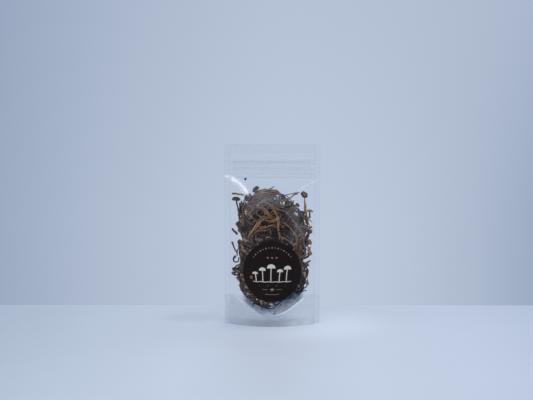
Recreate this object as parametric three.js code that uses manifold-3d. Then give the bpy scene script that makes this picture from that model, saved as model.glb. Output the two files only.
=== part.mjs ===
// A clear stand-up zip pouch filled with dried enoki mushrooms.
// Millimetres, +Z up. The pouch stands on the bottom edges of its front and back films, faces -Y,
// and its origin is the middle of its footprint on the surface that it stands on.
import * as THREE from "three";
import { mergeVertices } from "three/addons/utils/BufferGeometryUtils.js";
import Module from "manifold-3d";

// Pouch: overall sizes of the filled bag
const POUCH_WIDTH = 105; // across the two side seals
const POUCH_HEIGHT = 200;
const SIDE_SEAL = 6; // width of each welded side strip
const FILM = 0.4; // thickness of each film
const GAP = 0.3; // clearance between neighbouring pieces
const CORNER = 3; // radius of the four corners
const HALF_WIDTH = POUCH_WIDTH / 2;
const INNER_HALF = HALF_WIDTH - SIDE_SEAL;

// Pouch: half depth of the bag at its middle, at the heights that shape it
const DEPTH_FOOT = 15; // at the bottom edge
const DEPTH_MAX = 17.2;
const DEPTH_ZIP = 1.65; // where the films part round the zip
const FULLEST_Z = 25;
const FILL_POWER = 2.4; // how late the bag narrows towards the zip
const LENS_POWER = 2.2; // how round the bag is across

// Pouch: seals and zip
const GUSSET_SIDE_Z = 33; // height of the gusset's fold at the side seals
const GUSSET_MIDDLE_Z = 10.6; // lowest point of its round seal
const GUSSET_CURVE = 1.7; // how square that round seal is
const GUSSET_SAG = 4.6; // how far the floor hangs below the round seal
const ZIP_LOW_Z = 164; // the films part here
const ZIP_HIGH_Z = 184; // and close again from here
const ZIP_Z = 176; // the locking rib
const ZIP_TAPE_LOW_Z = 167.5;
const ZIP_TAPE_HIGH_Z = 182;
const ZIP_TAPE = 0.4;
const ZIP_HALF_LENGTH = 42.5;
const TOP_SEAL_Z = 190; // the films are welded from here to the top edge
const NOTCH_Z = 187; // tear notches in the side seals
const NOTCH_DEPTH = 2;
const NOTCH_HALF_HEIGHT = 1.5; // at the notch's mouth

// Label
const LABEL_RADIUS = 33;
const LABEL_Z = 61.8;
const LABEL_THICKNESS = 0.3;
const LABEL_X_SHARE = 0.967; // its width seen from the front, shortened as it wraps round the bag

// Dried mushrooms
const FILM_CLEARANCE = 0.6; // between the mushrooms and a film
const STEP = 6.5; // length of one straight piece of a stem
const STEM_SIDES = 3;
const CAP_SIDES = 6;
const CORE_LOW_Z = 27;
const CORE_HIGH_Z = 138;
const CORE_INSET = 8; // how far the core stays inside the bunch's outline
const CORE_SHARE = 0.62; // of the bag's inner depth
const ROOT_LAYER = 0.3; // of that depth, well inside the core
const ROOT_SPREAD = 0.6; // how far out towards the outline a tuft can have its root
const ROOT_MARGIN = 12; // from the core's ends
const TUFTS = 16;
const TUFT_STEP = 0.618; // from one tuft to the next, as a share of the core's height
const LOOSE_CLEARANCE = 1; // between a loose piece and any stem of the bunch
const CORE_LUMP = 0.2; // how uneven the core's faces are
const LUMP_SIZE = 4;
const LUMP_PHASE = 1; // keeps the lumps off the pouch's middle line
const CORE_ROWS = 10; // across
const CORE_COLUMNS = 12; // upwards
const ROOT_SHARE = 1.2; // radius at a stem's root and tip, as shares of its radius
const TIP_SHARE = 0.8;

// Bunch: its left and right edges at each height, as seen from the front
const BUNCH_OUTLINE = [
  [19, -14, -6],
  [25, -22, 4],
  [31, -27, 22],
  [37, -31, 32],
  [47, -35, 35],
  [62, -37, 36],
  [84, -35, 40],
  [108, -35, 39],
  [119, -36, 35],
  [130, -36, 29],
  [141, -31, 24],
  [148, -27, 16],
  [152, -21, 7],
];

// Stems of a tuft: the ends of each range that they vary in
const STEPS = [5, 9];
const STEM_RADII = [0.85, 1.35];
const LAYERS = [0.72, 1]; // 0 in the middle of the bag, 1 at a film
const BENDS = [-0.16, 0.16]; // steady turn at each step, in radians
const WAVES = [0.1, 0.5]; // swing to either side at each step, in radians
const WAVE_RATE = 1.3;
const TURN_BACK = 0.9; // at the bunch's rim, in radians
const CAPPED_SHARE = 0.6; // share of the stems that still have a cap
const CAP_RADII = [2.4, 4.6];
const TUFT_STEMS = [3, 6];
const SPREADS = [-0.75, 0.75]; // of the stems of a tuft about its heading, in radians

const LEAST_ROOM = 0.02; // keeps the inside of the bag a solid where its films meet

const { clamp, lerp } = THREE.MathUtils;

function smooth(low, high, value) {
  return THREE.MathUtils.smoothstep(value, low, high);
}

// The same numbers from the same seed, every time (mulberry32).
function randomFrom(seed) {
  let state = seed;
  return () => {
    state = (state + 0x6d2b79f5) | 0;
    let t = Math.imul(state ^ (state >>> 15), 1 | state);
    t = (t + Math.imul(t ^ (t >>> 7), 61 | t)) ^ t;
    return ((t ^ (t >>> 14)) >>> 0) / 4294967296;
  };
}

function within([low, high], random) {
  return lerp(low, high, random());
}

// ---------------------------------------------------------------- solids

const wasm = await Module();
wasm.setup();

function solidFrom(geometry) {
  const bare = new THREE.BufferGeometry();
  bare.setAttribute("position", geometry.getAttribute("position"));
  bare.setIndex(geometry.getIndex());
  const merged = mergeVertices(bare, 1e-4);
  const mesh = new wasm.Mesh({
    numProp: 3,
    vertProperties: new Float32Array(merged.getAttribute("position").array),
    triVerts: new Uint32Array(merged.getIndex().array),
  });
  return new wasm.Manifold(mesh);
}

function geometryFrom(solid) {
  const mesh = solid.getMesh();
  const geometry = new THREE.BufferGeometry();
  geometry.setAttribute("position", new THREE.BufferAttribute(new Float32Array(mesh.vertProperties), 3));
  geometry.setIndex(new THREE.BufferAttribute(new Uint32Array(mesh.triVerts), 1));
  geometry.computeVertexNormals();
  return geometry;
}

// The largest of the bodies that a solid falls into.
function largest(solid) {
  return solid.decompose().reduce((most, body) => (body.volume() > most.volume() ? body : most));
}

function indexed(points, triangles) {
  const geometry = new THREE.BufferGeometry();
  const coordinates = points.flatMap((p) => [p.x, p.y, p.z]);
  geometry.setAttribute("position", new THREE.Float32BufferAttribute(coordinates, 3));
  geometry.setIndex(triangles);
  return geometry;
}

// A closed slab between two surfaces, each a grid of (rows + 1) x (columns + 1) points. Seen from
// the near side, with its columns upright, its rows run from left to right.
function slab(rows, columns, near, far) {
  const points = [];
  for (const surface of [near, far])
    for (let i = 0; i <= rows; i++) for (let j = 0; j <= columns; j++) points.push(surface(i, j));
  const count = (rows + 1) * (columns + 1);
  const at = (i, j) => i * (columns + 1) + j;
  const triangles = [];
  const quad = (a, b, c, d) => triangles.push(a, b, c, a, c, d);
  for (let i = 0; i < rows; i++)
    for (let j = 0; j < columns; j++) {
      quad(at(i, j), at(i + 1, j), at(i + 1, j + 1), at(i, j + 1));
      quad(count + at(i, j), count + at(i, j + 1), count + at(i + 1, j + 1), count + at(i + 1, j));
    }
  for (let i = 0; i < rows; i++) {
    quad(count + at(i, 0), count + at(i + 1, 0), at(i + 1, 0), at(i, 0));
    quad(at(i, columns), at(i + 1, columns), count + at(i + 1, columns), count + at(i, columns));
  }
  for (let j = 0; j < columns; j++) {
    quad(at(0, j), at(0, j + 1), count + at(0, j + 1), count + at(0, j));
    quad(count + at(rows, j), count + at(rows, j + 1), at(rows, j + 1), at(rows, j));
  }
  return indexed(points, triangles);
}

// ---------------------------------------------------------------- shape of the bag

// Half the space between two films where they are welded. The gusset's two legs lie between them
// low down.
function sealHalfGap(z) {
  const apart = GAP / 2 + FILM + GAP;
  return lerp(apart, GAP / 2, smooth(GUSSET_SIDE_Z + 1, GUSSET_SIDE_Z + 9, z));
}

function middleDepth(z) {
  if (z >= ZIP_LOW_Z) return DEPTH_ZIP * (1 - smooth(ZIP_HIGH_Z, TOP_SEAL_Z, z));
  if (z <= FULLEST_Z) return DEPTH_MAX - (DEPTH_MAX - DEPTH_FOOT) * (1 - z / FULLEST_Z) ** 2;
  const rise = (z - FULLEST_Z) / (ZIP_LOW_Z - FULLEST_Z);
  return DEPTH_ZIP + (DEPTH_MAX - DEPTH_ZIP) * (1 - rise ** FILL_POWER);
}

// Half the inner depth of the bag at a place seen from the front.
function innerDepth(x, z) {
  const across = Math.min(Math.abs(x) / INNER_HALF, 1);
  const round = 1 - across ** LENS_POWER;
  const flat = 1 - smooth(ZIP_HALF_LENGTH + 1, INNER_HALF, Math.abs(x));
  const zip = smooth(ZIP_LOW_Z - 14, ZIP_LOW_Z, z);
  return sealHalfGap(z) + middleDepth(z) * lerp(round, flat, zip);
}

// Height of the round seal that joins the gusset to the front and back films.
function roundSealZ(x) {
  const across = Math.min(Math.abs(x) / INNER_HALF, 1);
  const rise = Math.sin((across * Math.PI) / 2) ** GUSSET_CURVE;
  return GUSSET_MIDDLE_Z + (GUSSET_SIDE_Z - GUSSET_MIDDLE_Z) * rise;
}

// Height of the bag's floor, which the mushrooms lie on. Across runs from -1 at the front to 1 at
// the back.
function floorZ(x, across) {
  const slack = Math.max(0, 1 - (x / INNER_HALF) ** 2);
  return roundSealZ(x) - GUSSET_SAG * slack * (1 - across * across);
}

// The side edge, drawn in round the corners.
function edgeX(z) {
  const nearest = Math.min(z, POUCH_HEIGHT - z);
  if (nearest >= CORNER) return HALF_WIDTH;
  return HALF_WIDTH - CORNER + Math.sqrt(CORNER ** 2 - (CORNER - nearest) ** 2);
}

// The places across the bag where its films have points. The outermost ones follow the edge.
const HALF_STATIONS = [HALF_WIDTH, INNER_HALF, ZIP_HALF_LENGTH + 1, 38, 31, 22.5, 13.5, 4.5];
const X_STATIONS = [...HALF_STATIONS.map((x) => -x), ...HALF_STATIONS.toReversed()];

function stationX(i, z) {
  const x = X_STATIONS[i];
  return Math.abs(x) === HALF_WIDTH ? Math.sign(x) * edgeX(z) : x;
}

// ---------------------------------------------------------------- pouch pieces

const FILM_HEIGHTS = [
  0, 0.8, CORNER, 10, 18, 26, 34, 42, 54, 68, 82, 96, 110, 123, 135, 146, 155, ZIP_LOW_Z,
  ZIP_HIGH_Z, NOTCH_Z, TOP_SEAL_Z, POUCH_HEIGHT - CORNER, POUCH_HEIGHT - 0.8, POUCH_HEIGHT,
];

// A wedge that opens towards the side edge and runs right through both films.
function notchCutter(side) {
  const mouth = side * (HALF_WIDTH + 1);
  const outline = new THREE.Shape();
  outline.moveTo(side * (HALF_WIDTH - NOTCH_DEPTH), NOTCH_Z);
  outline.lineTo(mouth, NOTCH_Z - NOTCH_HALF_HEIGHT);
  outline.lineTo(mouth, NOTCH_Z + NOTCH_HALF_HEIGHT);
  const cutter = new THREE.ExtrudeGeometry(outline, { depth: 10, bevelEnabled: false });
  cutter.rotateX(Math.PI / 2).translate(0, 5, 0);
  return solidFrom(cutter);
}

// The front film has side -1 and the back film has side 1. Lift is measured outwards from the
// film's inner face.
function filmSurface(side, lift) {
  return (i, j) => {
    const z = FILM_HEIGHTS[j];
    const x = stationX(i, z);
    const depth = Math.max(innerDepth(x, z) + lift, LEAST_ROOM);
    return new THREE.Vector3(x, side * depth, z);
  };
}

function filmGeometry(side) {
  const columns = FILM_HEIGHTS.length - 1;
  const rows = X_STATIONS.length - 1;
  const [near, far] = side < 0 ? [FILM, 0] : [0, FILM];
  const film = solidFrom(slab(rows, columns, filmSurface(side, near), filmSurface(side, far)));
  return geometryFrom(film.subtract(notchCutter(-1)).subtract(notchCutter(1)));
}

const FLOOR_SHARES = [-0.6, -0.2, 0.2, 0.6]; // of the way from the middle to the films
const PAST_FLOOR = 1.6; // a share that lies outside both films

function floorPoint(i, across, lift) {
  const x = X_STATIONS[i];
  const half = innerDepth(x, roundSealZ(x)) - GAP - FILM + lift;
  return new THREE.Vector3(x, across * half, floorZ(x, across) + lift);
}

// One folded film: up inside the front film, across as the floor, and down inside the back film.
function gussetGeometry() {
  const legShares = [0.35, 0.7, 1];
  const rows = X_STATIONS.length - 1;
  const surface = (lift) => (i, j) => {
    const seal = roundSealZ(X_STATIONS[i]);
    const leg = [0, 0.8, CORNER, ...legShares.map((share) => CORNER + share * (seal - CORNER))];
    const last = leg.length + FLOOR_SHARES.length + leg.length - 1;
    const onLeg = j < leg.length ? j : last - j;
    if (onLeg < leg.length) {
      const z = leg[onLeg];
      const x = stationX(i, z);
      const side = j < leg.length ? -1 : 1;
      const top = onLeg === leg.length - 1 ? lift : 0;
      return new THREE.Vector3(x, side * (innerDepth(x, z) - GAP - FILM + lift), z + top);
    }
    return floorPoint(i, FLOOR_SHARES[j - leg.length], lift);
  };
  const columns = 2 * (3 + legShares.length) + FLOOR_SHARES.length - 1;
  return slab(rows, columns, surface(FILM), surface(0));
}

// Profiles are drawn with x as the row's Y and y as the row's Z.
function zipGeometry(profile) {
  const outline = new THREE.Shape(profile.map(([y, z]) => new THREE.Vector2(y, z)));
  const track = new THREE.ExtrudeGeometry(outline, { depth: 2 * ZIP_HALF_LENGTH, bevelEnabled: false });
  track.translate(0, 0, -ZIP_HALF_LENGTH);
  const turned = new THREE.Matrix4().makeBasis(
    new THREE.Vector3(0, 1, 0),
    new THREE.Vector3(0, 0, 1),
    new THREE.Vector3(1, 0, 0),
  );
  return track.applyMatrix4(turned);
}

const TAPE_FACE = GAP / 2 + DEPTH_ZIP - GAP; // how far a tape's outer face is from the middle

// The socket: a tape with two hooked arms that reach back past the middle.
function zipSocket() {
  const outer = -TAPE_FACE;
  const inner = outer + ZIP_TAPE;
  const arm = 1.4;
  const chamber = 0.95;
  const lip = 0.58;
  const lipFace = 0.05;
  const tip = 0.3;
  return zipGeometry([
    [outer, ZIP_TAPE_LOW_Z],
    [inner, ZIP_TAPE_LOW_Z],
    [inner, ZIP_Z - arm],
    [tip, ZIP_Z - arm],
    [tip, ZIP_Z - lip],
    [lipFace, ZIP_Z - lip],
    [lipFace, ZIP_Z - chamber],
    [inner, ZIP_Z - chamber],
    [inner, ZIP_Z + chamber],
    [lipFace, ZIP_Z + chamber],
    [lipFace, ZIP_Z + lip],
    [tip, ZIP_Z + lip],
    [tip, ZIP_Z + arm],
    [inner, ZIP_Z + arm],
    [inner, ZIP_TAPE_HIGH_Z],
    [outer, ZIP_TAPE_HIGH_Z],
  ]);
}

// The rib: a tape with an arrow-headed tongue that snaps into the socket.
function zipRib() {
  const outer = TAPE_FACE;
  const inner = outer - ZIP_TAPE;
  const neck = 0.25;
  const head = 0.62;
  const headBack = -0.3;
  const headFront = -0.75;
  return zipGeometry([
    [outer, ZIP_TAPE_HIGH_Z],
    [inner, ZIP_TAPE_HIGH_Z],
    [inner, ZIP_Z + neck],
    [headBack, ZIP_Z + neck],
    [headBack, ZIP_Z + head],
    [headFront, ZIP_Z + neck],
    [headFront, ZIP_Z - neck],
    [headBack, ZIP_Z - head],
    [headBack, ZIP_Z - neck],
    [inner, ZIP_Z - neck],
    [inner, ZIP_TAPE_LOW_Z],
    [outer, ZIP_TAPE_LOW_Z],
  ]);
}

// A point of the unit disc for a point of the square from -1 to 1 (Shirley's concentric map).
function discPoint(a, b) {
  if (a === 0 && b === 0) return [0, 0];
  const far = Math.abs(a) > Math.abs(b);
  const radius = far ? a : b;
  const angle = far ? (Math.PI / 4) * (b / a) : Math.PI / 2 - (Math.PI / 4) * (a / b);
  return [radius * Math.cos(angle), radius * Math.sin(angle)];
}

// A round paper label that follows the front film.
function labelGeometry() {
  const cells = 12;
  const surface = (lift) => (i, j) => {
    const [right, up] = discPoint((2 * i) / cells - 1, (2 * j) / cells - 1);
    const x = LABEL_X_SHARE * LABEL_RADIUS * right;
    const z = LABEL_Z + LABEL_RADIUS * up;
    return new THREE.Vector3(x, -(innerDepth(x, z) + FILM + GAP + lift), z);
  };
  return slab(cells, cells, surface(LABEL_THICKNESS), surface(0));
}

// ---------------------------------------------------------------- dried mushrooms

// The space between the films and over the gusset, less a clearance all round.
function bagRoom() {
  const rows = X_STATIONS.length - 1;
  const columns = FILM_HEIGHTS.indexOf(ZIP_LOW_Z);
  const between = slab(rows, columns, filmSurface(-1, -GAP), filmSurface(1, -GAP));
  const shares = [-PAST_FLOOR, ...FLOOR_SHARES, PAST_FLOOR];
  const top = (i, j) => floorPoint(i, shares[j], FILM + GAP);
  const bottom = (i, j) => top(i, j).setZ(-1);
  const below = slab(rows, shares.length - 1, top, bottom);
  return solidFrom(between).subtract(solidFrom(below));
}

// Keeps a point inside the bag, with room to spare all round it.
function insideBag(point, room) {
  const seal = roundSealZ(point.x);
  const half = Math.max(innerDepth(point.x, Math.max(point.z, seal)), 0.1);
  const across = clamp(point.y / half, -1, 1);
  point.z = Math.max(point.z, floorZ(point.x, across) + FILM + room);
  const most = Math.max(innerDepth(point.x, point.z) - room, 0);
  point.y = clamp(point.y, -most, most);
  return point;
}

// A place in the bag: x and z as seen from the front, and a layer from -1 at the front film to 1
// at the back film.
function placed(x, z, layer, radius) {
  const room = radius + FILM_CLEARANCE;
  const reach = Math.max(innerDepth(x, z) - room, 0);
  return insideBag(new THREE.Vector3(x, layer * reach, z), room);
}

// A stem: a closed tube with a radius at each of its points.
function stemSolid(points, radii) {
  const corners = [];
  const normal = new THREE.Vector3(0, 1, 0);
  points.forEach((point, i) => {
    const before = points[Math.max(i - 1, 0)];
    const after = points[Math.min(i + 1, points.length - 1)];
    const along = after.clone().sub(before).normalize();
    normal.addScaledVector(along, -normal.dot(along)).normalize();
    const side = new THREE.Vector3().crossVectors(along, normal);
    for (let k = 0; k < STEM_SIDES; k++) {
      const turn = (2 * Math.PI * k) / STEM_SIDES;
      const corner = point.clone().addScaledVector(normal, radii[i] * Math.cos(turn));
      corner.addScaledVector(side, radii[i] * Math.sin(turn));
      corners.push(insideBag(corner, FILM_CLEARANCE));
    }
  });
  const ends = [corners.length, corners.length + 1];
  corners.push(points[0].clone(), points[points.length - 1].clone());
  const triangles = [];
  const last = (points.length - 1) * STEM_SIDES;
  for (let k = 0; k < STEM_SIDES; k++) {
    const next = (k + 1) % STEM_SIDES;
    triangles.push(ends[0], next, k, ends[1], last + k, last + next);
    for (let i = 0; i < last; i += STEM_SIDES) {
      triangles.push(i + k, i + next, i + STEM_SIDES + next);
      triangles.push(i + k, i + STEM_SIDES + next, i + STEM_SIDES + k);
    }
  }
  return solidFrom(indexed(corners, triangles));
}

// A shrunken cap: a low dome with its rim rolled in, on the end of a stem, pressed where it meets
// a film.
function capSolid(centre, direction, radius) {
  const profile = [
    [0, 0.6],
    [0.7, 0.4],
    [1, -0.1],
    [0, -0.2],
  ].map(([across, along]) => new THREE.Vector2(across * radius, along * radius));
  const dome = new THREE.LatheGeometry(profile.toReversed(), CAP_SIDES);
  const turned = new THREE.Quaternion().setFromUnitVectors(new THREE.Vector3(0, 1, 0), direction);
  dome.applyQuaternion(turned).translate(centre.x, centre.y, centre.z);
  const position = dome.getAttribute("position");
  const corner = new THREE.Vector3();
  for (let i = 0; i < position.count; i++) {
    insideBag(corner.fromBufferAttribute(position, i), FILM_CLEARANCE);
    position.setXYZ(i, corner.x, corner.y, corner.z);
  }
  return solidFrom(dome);
}

function mushroomSolids({ points, radius, cap, facing }) {
  const last = points.length - 1;
  const radii = points.map((_, i) => radius * lerp(ROOT_SHARE, TIP_SHARE, i / last));
  const solids = [stemSolid(points, radii)];
  if (cap > 0) {
    const direction = facing ?? points[last].clone().sub(points[last - 1]).normalize();
    solids.push(capSolid(points[last], direction, cap));
  }
  return solids;
}

// The bunch's left and right edges at a height.
function bunchEdges(z) {
  const above = BUNCH_OUTLINE.findIndex(([height]) => height > z);
  const next = above < 0 ? BUNCH_OUTLINE.length - 1 : Math.max(above, 1);
  const [low, high] = [BUNCH_OUTLINE[next - 1], BUNCH_OUTLINE[next]];
  const share = clamp((z - low[0]) / (high[0] - low[0]), 0, 1);
  return [lerp(low[1], high[1], share), lerp(low[2], high[2], share)];
}

// How far out a place is: 1 on the bunch's outline as seen from the front.
function outwards(x, z) {
  if (z < BUNCH_OUTLINE[0][0] || z > BUNCH_OUTLINE.at(-1)[0]) return Infinity;
  const [left, right] = bunchEdges(z);
  return Math.abs(2 * x - left - right) / (right - left);
}

// One stem of a tuft. It starts inside the core, rises to its own layer, wanders, and turns back
// where it would leave the bunch.
function wanderingStem(random, root, heading, side) {
  const steps = Math.floor(within(STEPS, random));
  const radius = within(STEM_RADII, random);
  const layer = side * within(LAYERS, random);
  const bend = within(BENDS, random);
  const wave = within(WAVES, random);
  const phase = 2 * Math.PI * random();
  const cap = random() < CAPPED_SHARE ? within(CAP_RADII, random) : 0;
  let { x, z } = root;
  let turn = heading;
  const points = [];
  for (let i = 0; i <= steps; i++) {
    const depth = lerp(side * ROOT_LAYER, layer, smooth(0, 3, i));
    points.push(placed(x, z, depth, radius));
    turn += bend + wave * Math.sin(WAVE_RATE * i + phase);
    const ahead = outwards(x + 2 * STEP * Math.cos(turn), z + 2 * STEP * Math.sin(turn));
    if (ahead > 1) turn += TURN_BACK;
    x += STEP * Math.cos(turn);
    z += STEP * Math.sin(turn);
  }
  return { points, radius, cap };
}

// Tufts of stems that grew from one root, strewn over the core, front and back in turn.
function tuftStems() {
  const random = randomFrom(20);
  const stems = [];
  for (let tuft = 0; tuft < TUFTS; tuft++) {
    const z = lerp(CORE_LOW_Z + ROOT_MARGIN, CORE_HIGH_Z - ROOT_MARGIN, (tuft * TUFT_STEP) % 1);
    const [left, right] = bunchEdges(z);
    const aside = ROOT_SPREAD * within([-1, 1], random);
    const root = { x: (left + right + aside * (right - left)) / 2, z };
    const heading = 2 * Math.PI * random();
    const count = Math.floor(within(TUFT_STEMS, random));
    for (let stem = 0; stem < count; stem++) {
      const spread = within(SPREADS, random);
      stems.push(wanderingStem(random, root, heading + spread, tuft % 2 ? 1 : -1));
    }
  }
  return stems;
}

// Stems whose course is given: radius of the stem, radius of the cap (0 where it has broken off),
// then x, z and layer at each bend.
const LEADING_STEMS = [
  [1.2, 0, [-27, 130, -0.2], [-20, 132, -0.9], [-9, 130, -1], [-3, 122, -1], [3, 114, -0.3]],
  [1.2, 0, [-2, 138, -0.2], [1, 130, -0.9], [6, 119, -1], [7, 107, -1], [6, 98, -0.3]],
  [1.3, 0, [-13, 118, -0.3], [-12, 109, -1], [-3, 111, -1], [6, 110, -0.9], [9, 99, -0.3]],
  [1.3, 0, [-2, 121, -0.3], [-12, 118, -1], [-18, 110, -1], [-24, 101, -0.9], [-29, 92, -0.3]],
  [1.2, 0, [-24, 129, -0.1], [-19, 138, -0.7], [-12, 143.5, -0.7], [-3, 146, -0.6], [3, 149, -0.5]],
  [1.6, 3.8, [-18, 126, -0.1], [-21, 136, -0.4], [-20, 143, -0.5], [-17, 148.5, -0.5]],
  [1, 0, [2, 129, -0.3], [9, 138.5, -0.8], [19, 141, -0.8], [24, 145, -0.7], [28, 146, -0.5]],
  [1.2, 0, [-6, 128, -0.1], [-3, 138, -0.6], [2, 145, -0.6], [9, 146.5, -0.5]],
  [1.2, 2.6, [10, 120, -0.3], [16, 128, -0.8], [22, 131.5, -0.8], [28, 133.5, -0.6]],
  [1, 0, [-26, 118, 0], [-34, 117.5, -0.3], [-40.5, 116.5, -0.3]],
  [1.3, 3.4, [24, 92, 0.1], [31, 97, -0.6], [36, 106, -0.4], [42, 110, 0]],
  [1.2, 0, [27, 88, -0.2], [35, 96, -0.5], [40, 101, -0.2], [43.5, 103, 0]],
  [1.2, 3.4, [24, 84, 0], [32, 86, -0.5], [38, 89, -0.2], [41, 92, 0]],
  [1.2, 3.4, [24, 70, 0], [32, 74, -0.5], [38, 78, 0], [41.5, 80, 0]],
  [1.3, 0, [24, 60, 0], [33, 64, -0.5], [38, 68, 0], [42.5, 71, 0]],
  [1.3, 0, [22, 44, 0], [31, 43, -0.6], [35, 50, -0.2], [37, 61, 0]],
  [1.1, 0, [18, 38, 0], [26, 40, -0.6], [32, 38, -0.2], [38, 37, 0]],
  [1.4, 3.5, [-24, 84, 0], [-30, 92, -0.6], [-33, 103, -0.6], [-37, 113, -0.3]],
  [1.2, 0, [-24, 48, 0], [-31, 48, -0.6], [-37, 49, -0.3], [-39, 53, 0]],
  [1.3, 3.3, [-18, 38, 0], [-25, 36, -0.6], [-29, 39, -0.3], [-32, 44, 0]],
  [1.2, 0, [0, 36, -0.2], [-8, 30, -0.8], [-15, 26, -0.9], [-21, 28, -0.8]],
  [1.1, 2.8, [6, 38, -0.2], [1, 30, -0.8], [-5, 25, -0.9], [-11, 23, -0.9]],
];

function coursedStem([radius, cap, ...course]) {
  const points = course.map(([x, z, layer]) => placed(x, z, layer, radius));
  return { points, radius, cap };
}

// The packed middle of the bunch, a lumpy pillow that the stems stand out of.
function coreSolid() {
  const surface = (side) => (i, j) => {
    const z = lerp(CORE_LOW_Z, CORE_HIGH_Z, j / CORE_COLUMNS);
    const [left, right] = bunchEdges(z);
    const [across, along] = [(2 * i) / CORE_ROWS - 1, (2 * j) / CORE_COLUMNS - 1];
    const narrowing = Math.sqrt(Math.max(1 - along ** 6, 0.1));
    const reach = ((right - left) / 2 - CORE_INSET) * narrowing;
    const x = (left + right) / 2 + across * reach;
    const lump = 1 + CORE_LUMP * Math.sin(x / LUMP_SIZE + LUMP_PHASE) * Math.sin(z / LUMP_SIZE);
    const round = Math.sqrt(1 - Math.abs(across) ** 3) * narrowing;
    const depth = CORE_SHARE * lump * round * innerDepth(x, z);
    return insideBag(new THREE.Vector3(x, side * Math.max(depth, 1), z), FILM_CLEARANCE);
  };
  return solidFrom(slab(CORE_ROWS, CORE_COLUMNS, surface(-1), surface(1)));
}

// Joins solids into one body that fits the bag. A scrap that touches nothing is dropped.
function joinedInBag(solids, room) {
  return geometryFrom(largest(wasm.Manifold.union(solids).intersect(room)));
}

// Joins the core and every stem that keeps clear of the loose pieces.
function bunchGeometry(loose, room) {
  const solids = [coreSolid()];
  const occupied = wasm.Manifold.union(
    loose.flatMap(({ points, radius, cap, facing }) => {
      const wider = { radius: radius + LOOSE_CLEARANCE, cap: cap && cap + LOOSE_CLEARANCE };
      return mushroomSolids({ points, facing, ...wider });
    }),
  );
  for (const stem of [...LEADING_STEMS.map(coursedStem), ...tuftStems()]) {
    const pieces = mushroomSolids(stem);
    if (pieces.every((piece) => piece.intersect(occupied).isEmpty())) solids.push(...pieces);
  }
  return joinedInBag(solids, room);
}

// Single mushrooms and broken pieces that lie apart from the bunch, given in the same way.
const LOOSE_PIECES = {
  loose_mushroom_right: [1.1, 4.2, [37.7, 112, 0], [37, 121, 0], [36.2, 131, 0], [35.2, 144.5, 0]],
  loose_mushroom_left: [
    1.2,
    4.6,
    [-36, 121.5, -0.3],
    [-37, 127, -0.3],
    [-38.5, 133.5, -0.2],
    [-39.6, 139.8, -0.2],
  ],
  loose_stem_upper_left: [0.8, 0, [-44, 145.5, 0], [-38, 145.2, 0.5], [-31, 143.6, 0.6]],
  loose_cap_right: [0.8, 2.6, [41, 118.5, 0], [41.2, 122.5, 0], [41.4, 126.5, 0]],
  loose_stub_left: [1.2, 0, [-44, 107, 0], [-41, 103.5, 0], [-38.5, 100, 0]],
  loose_stem_left: [0.8, 0, [-44, 92, 0], [-42.3, 86, 0], [-39, 80, 0]],
  loose_curl_left: [
    0.9,
    0,
    [-40, 76, 0],
    [-42.5, 74, 0],
    [-42.5, 70.5, 0],
    [-39.5, 69, 0],
    [-37, 71, 0],
    [-37.2, 74.3, 0],
  ],
  crumb: [0.9, 0, [-30.2, 160.8, 0], [-29.1, 162, 0], [-28.6, 163.2, 0]],
};

// The way that a cap faces where it doesn't follow its stem.
const CAP_FACINGS = {
  loose_mushroom_right: new THREE.Vector3(0.1, -1, 0.3).normalize(),
};

// ---------------------------------------------------------------- assembly

function standard(color, roughness, opacity = 1) {
  const transparent = opacity < 1;
  return new THREE.MeshStandardMaterial({ color, roughness, metalness: 0, opacity, transparent });
}

const materials = {
  film: standard(0xdfe7ee, 0.12, 0.22),
  zip: standard(0xe4ebf1, 0.3, 0.4),
  label: standard(0x1c1414, 0.55),
  mushroom: standard(0x5c4030, 0.8),
};

function part(name, geometry, material) {
  const mesh = new THREE.Mesh(geometry, material);
  mesh.name = name;
  return mesh;
}

const pouch = new THREE.Group();
const room = bagRoom();
const loose = Object.entries(LOOSE_PIECES).map(([name, given]) => ({
  name,
  facing: CAP_FACINGS[name],
  ...coursedStem(given),
}));
pouch.add(
  part("front_film", filmGeometry(-1), materials.film),
  part("back_film", filmGeometry(1), materials.film),
  part("bottom_gusset_film", gussetGeometry(), materials.film),
  part("zip_socket_track", zipSocket(), materials.zip),
  part("zip_rib_track", zipRib(), materials.zip),
  part("round_label", labelGeometry(), materials.label),
  part("enoki_bunch", bunchGeometry(loose, room), materials.mushroom),
  ...loose.map((stem) => part(stem.name, joinedInBag(mushroomSolids(stem), room), materials.mushroom)),
);

// The label stands proud of the front alone, so the pouch is moved back to put its middle at the
// origin.
const extent = new THREE.Box3().setFromObject(pouch);
pouch.position.y = -(extent.min.y + extent.max.y) / 2;

export default pouch;
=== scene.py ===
"""Looks of a clear stand-up zip pouch, packed with dried enoki mushrooms, with a round label.

Shapes are worked out in millimetres in the pouch's own frame, whose y is 0 halfway between the
films, and are turned into metres in the row frame as each mesh is made.
"""
import math
import bpy
import numpy as np
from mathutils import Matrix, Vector, noise


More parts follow.
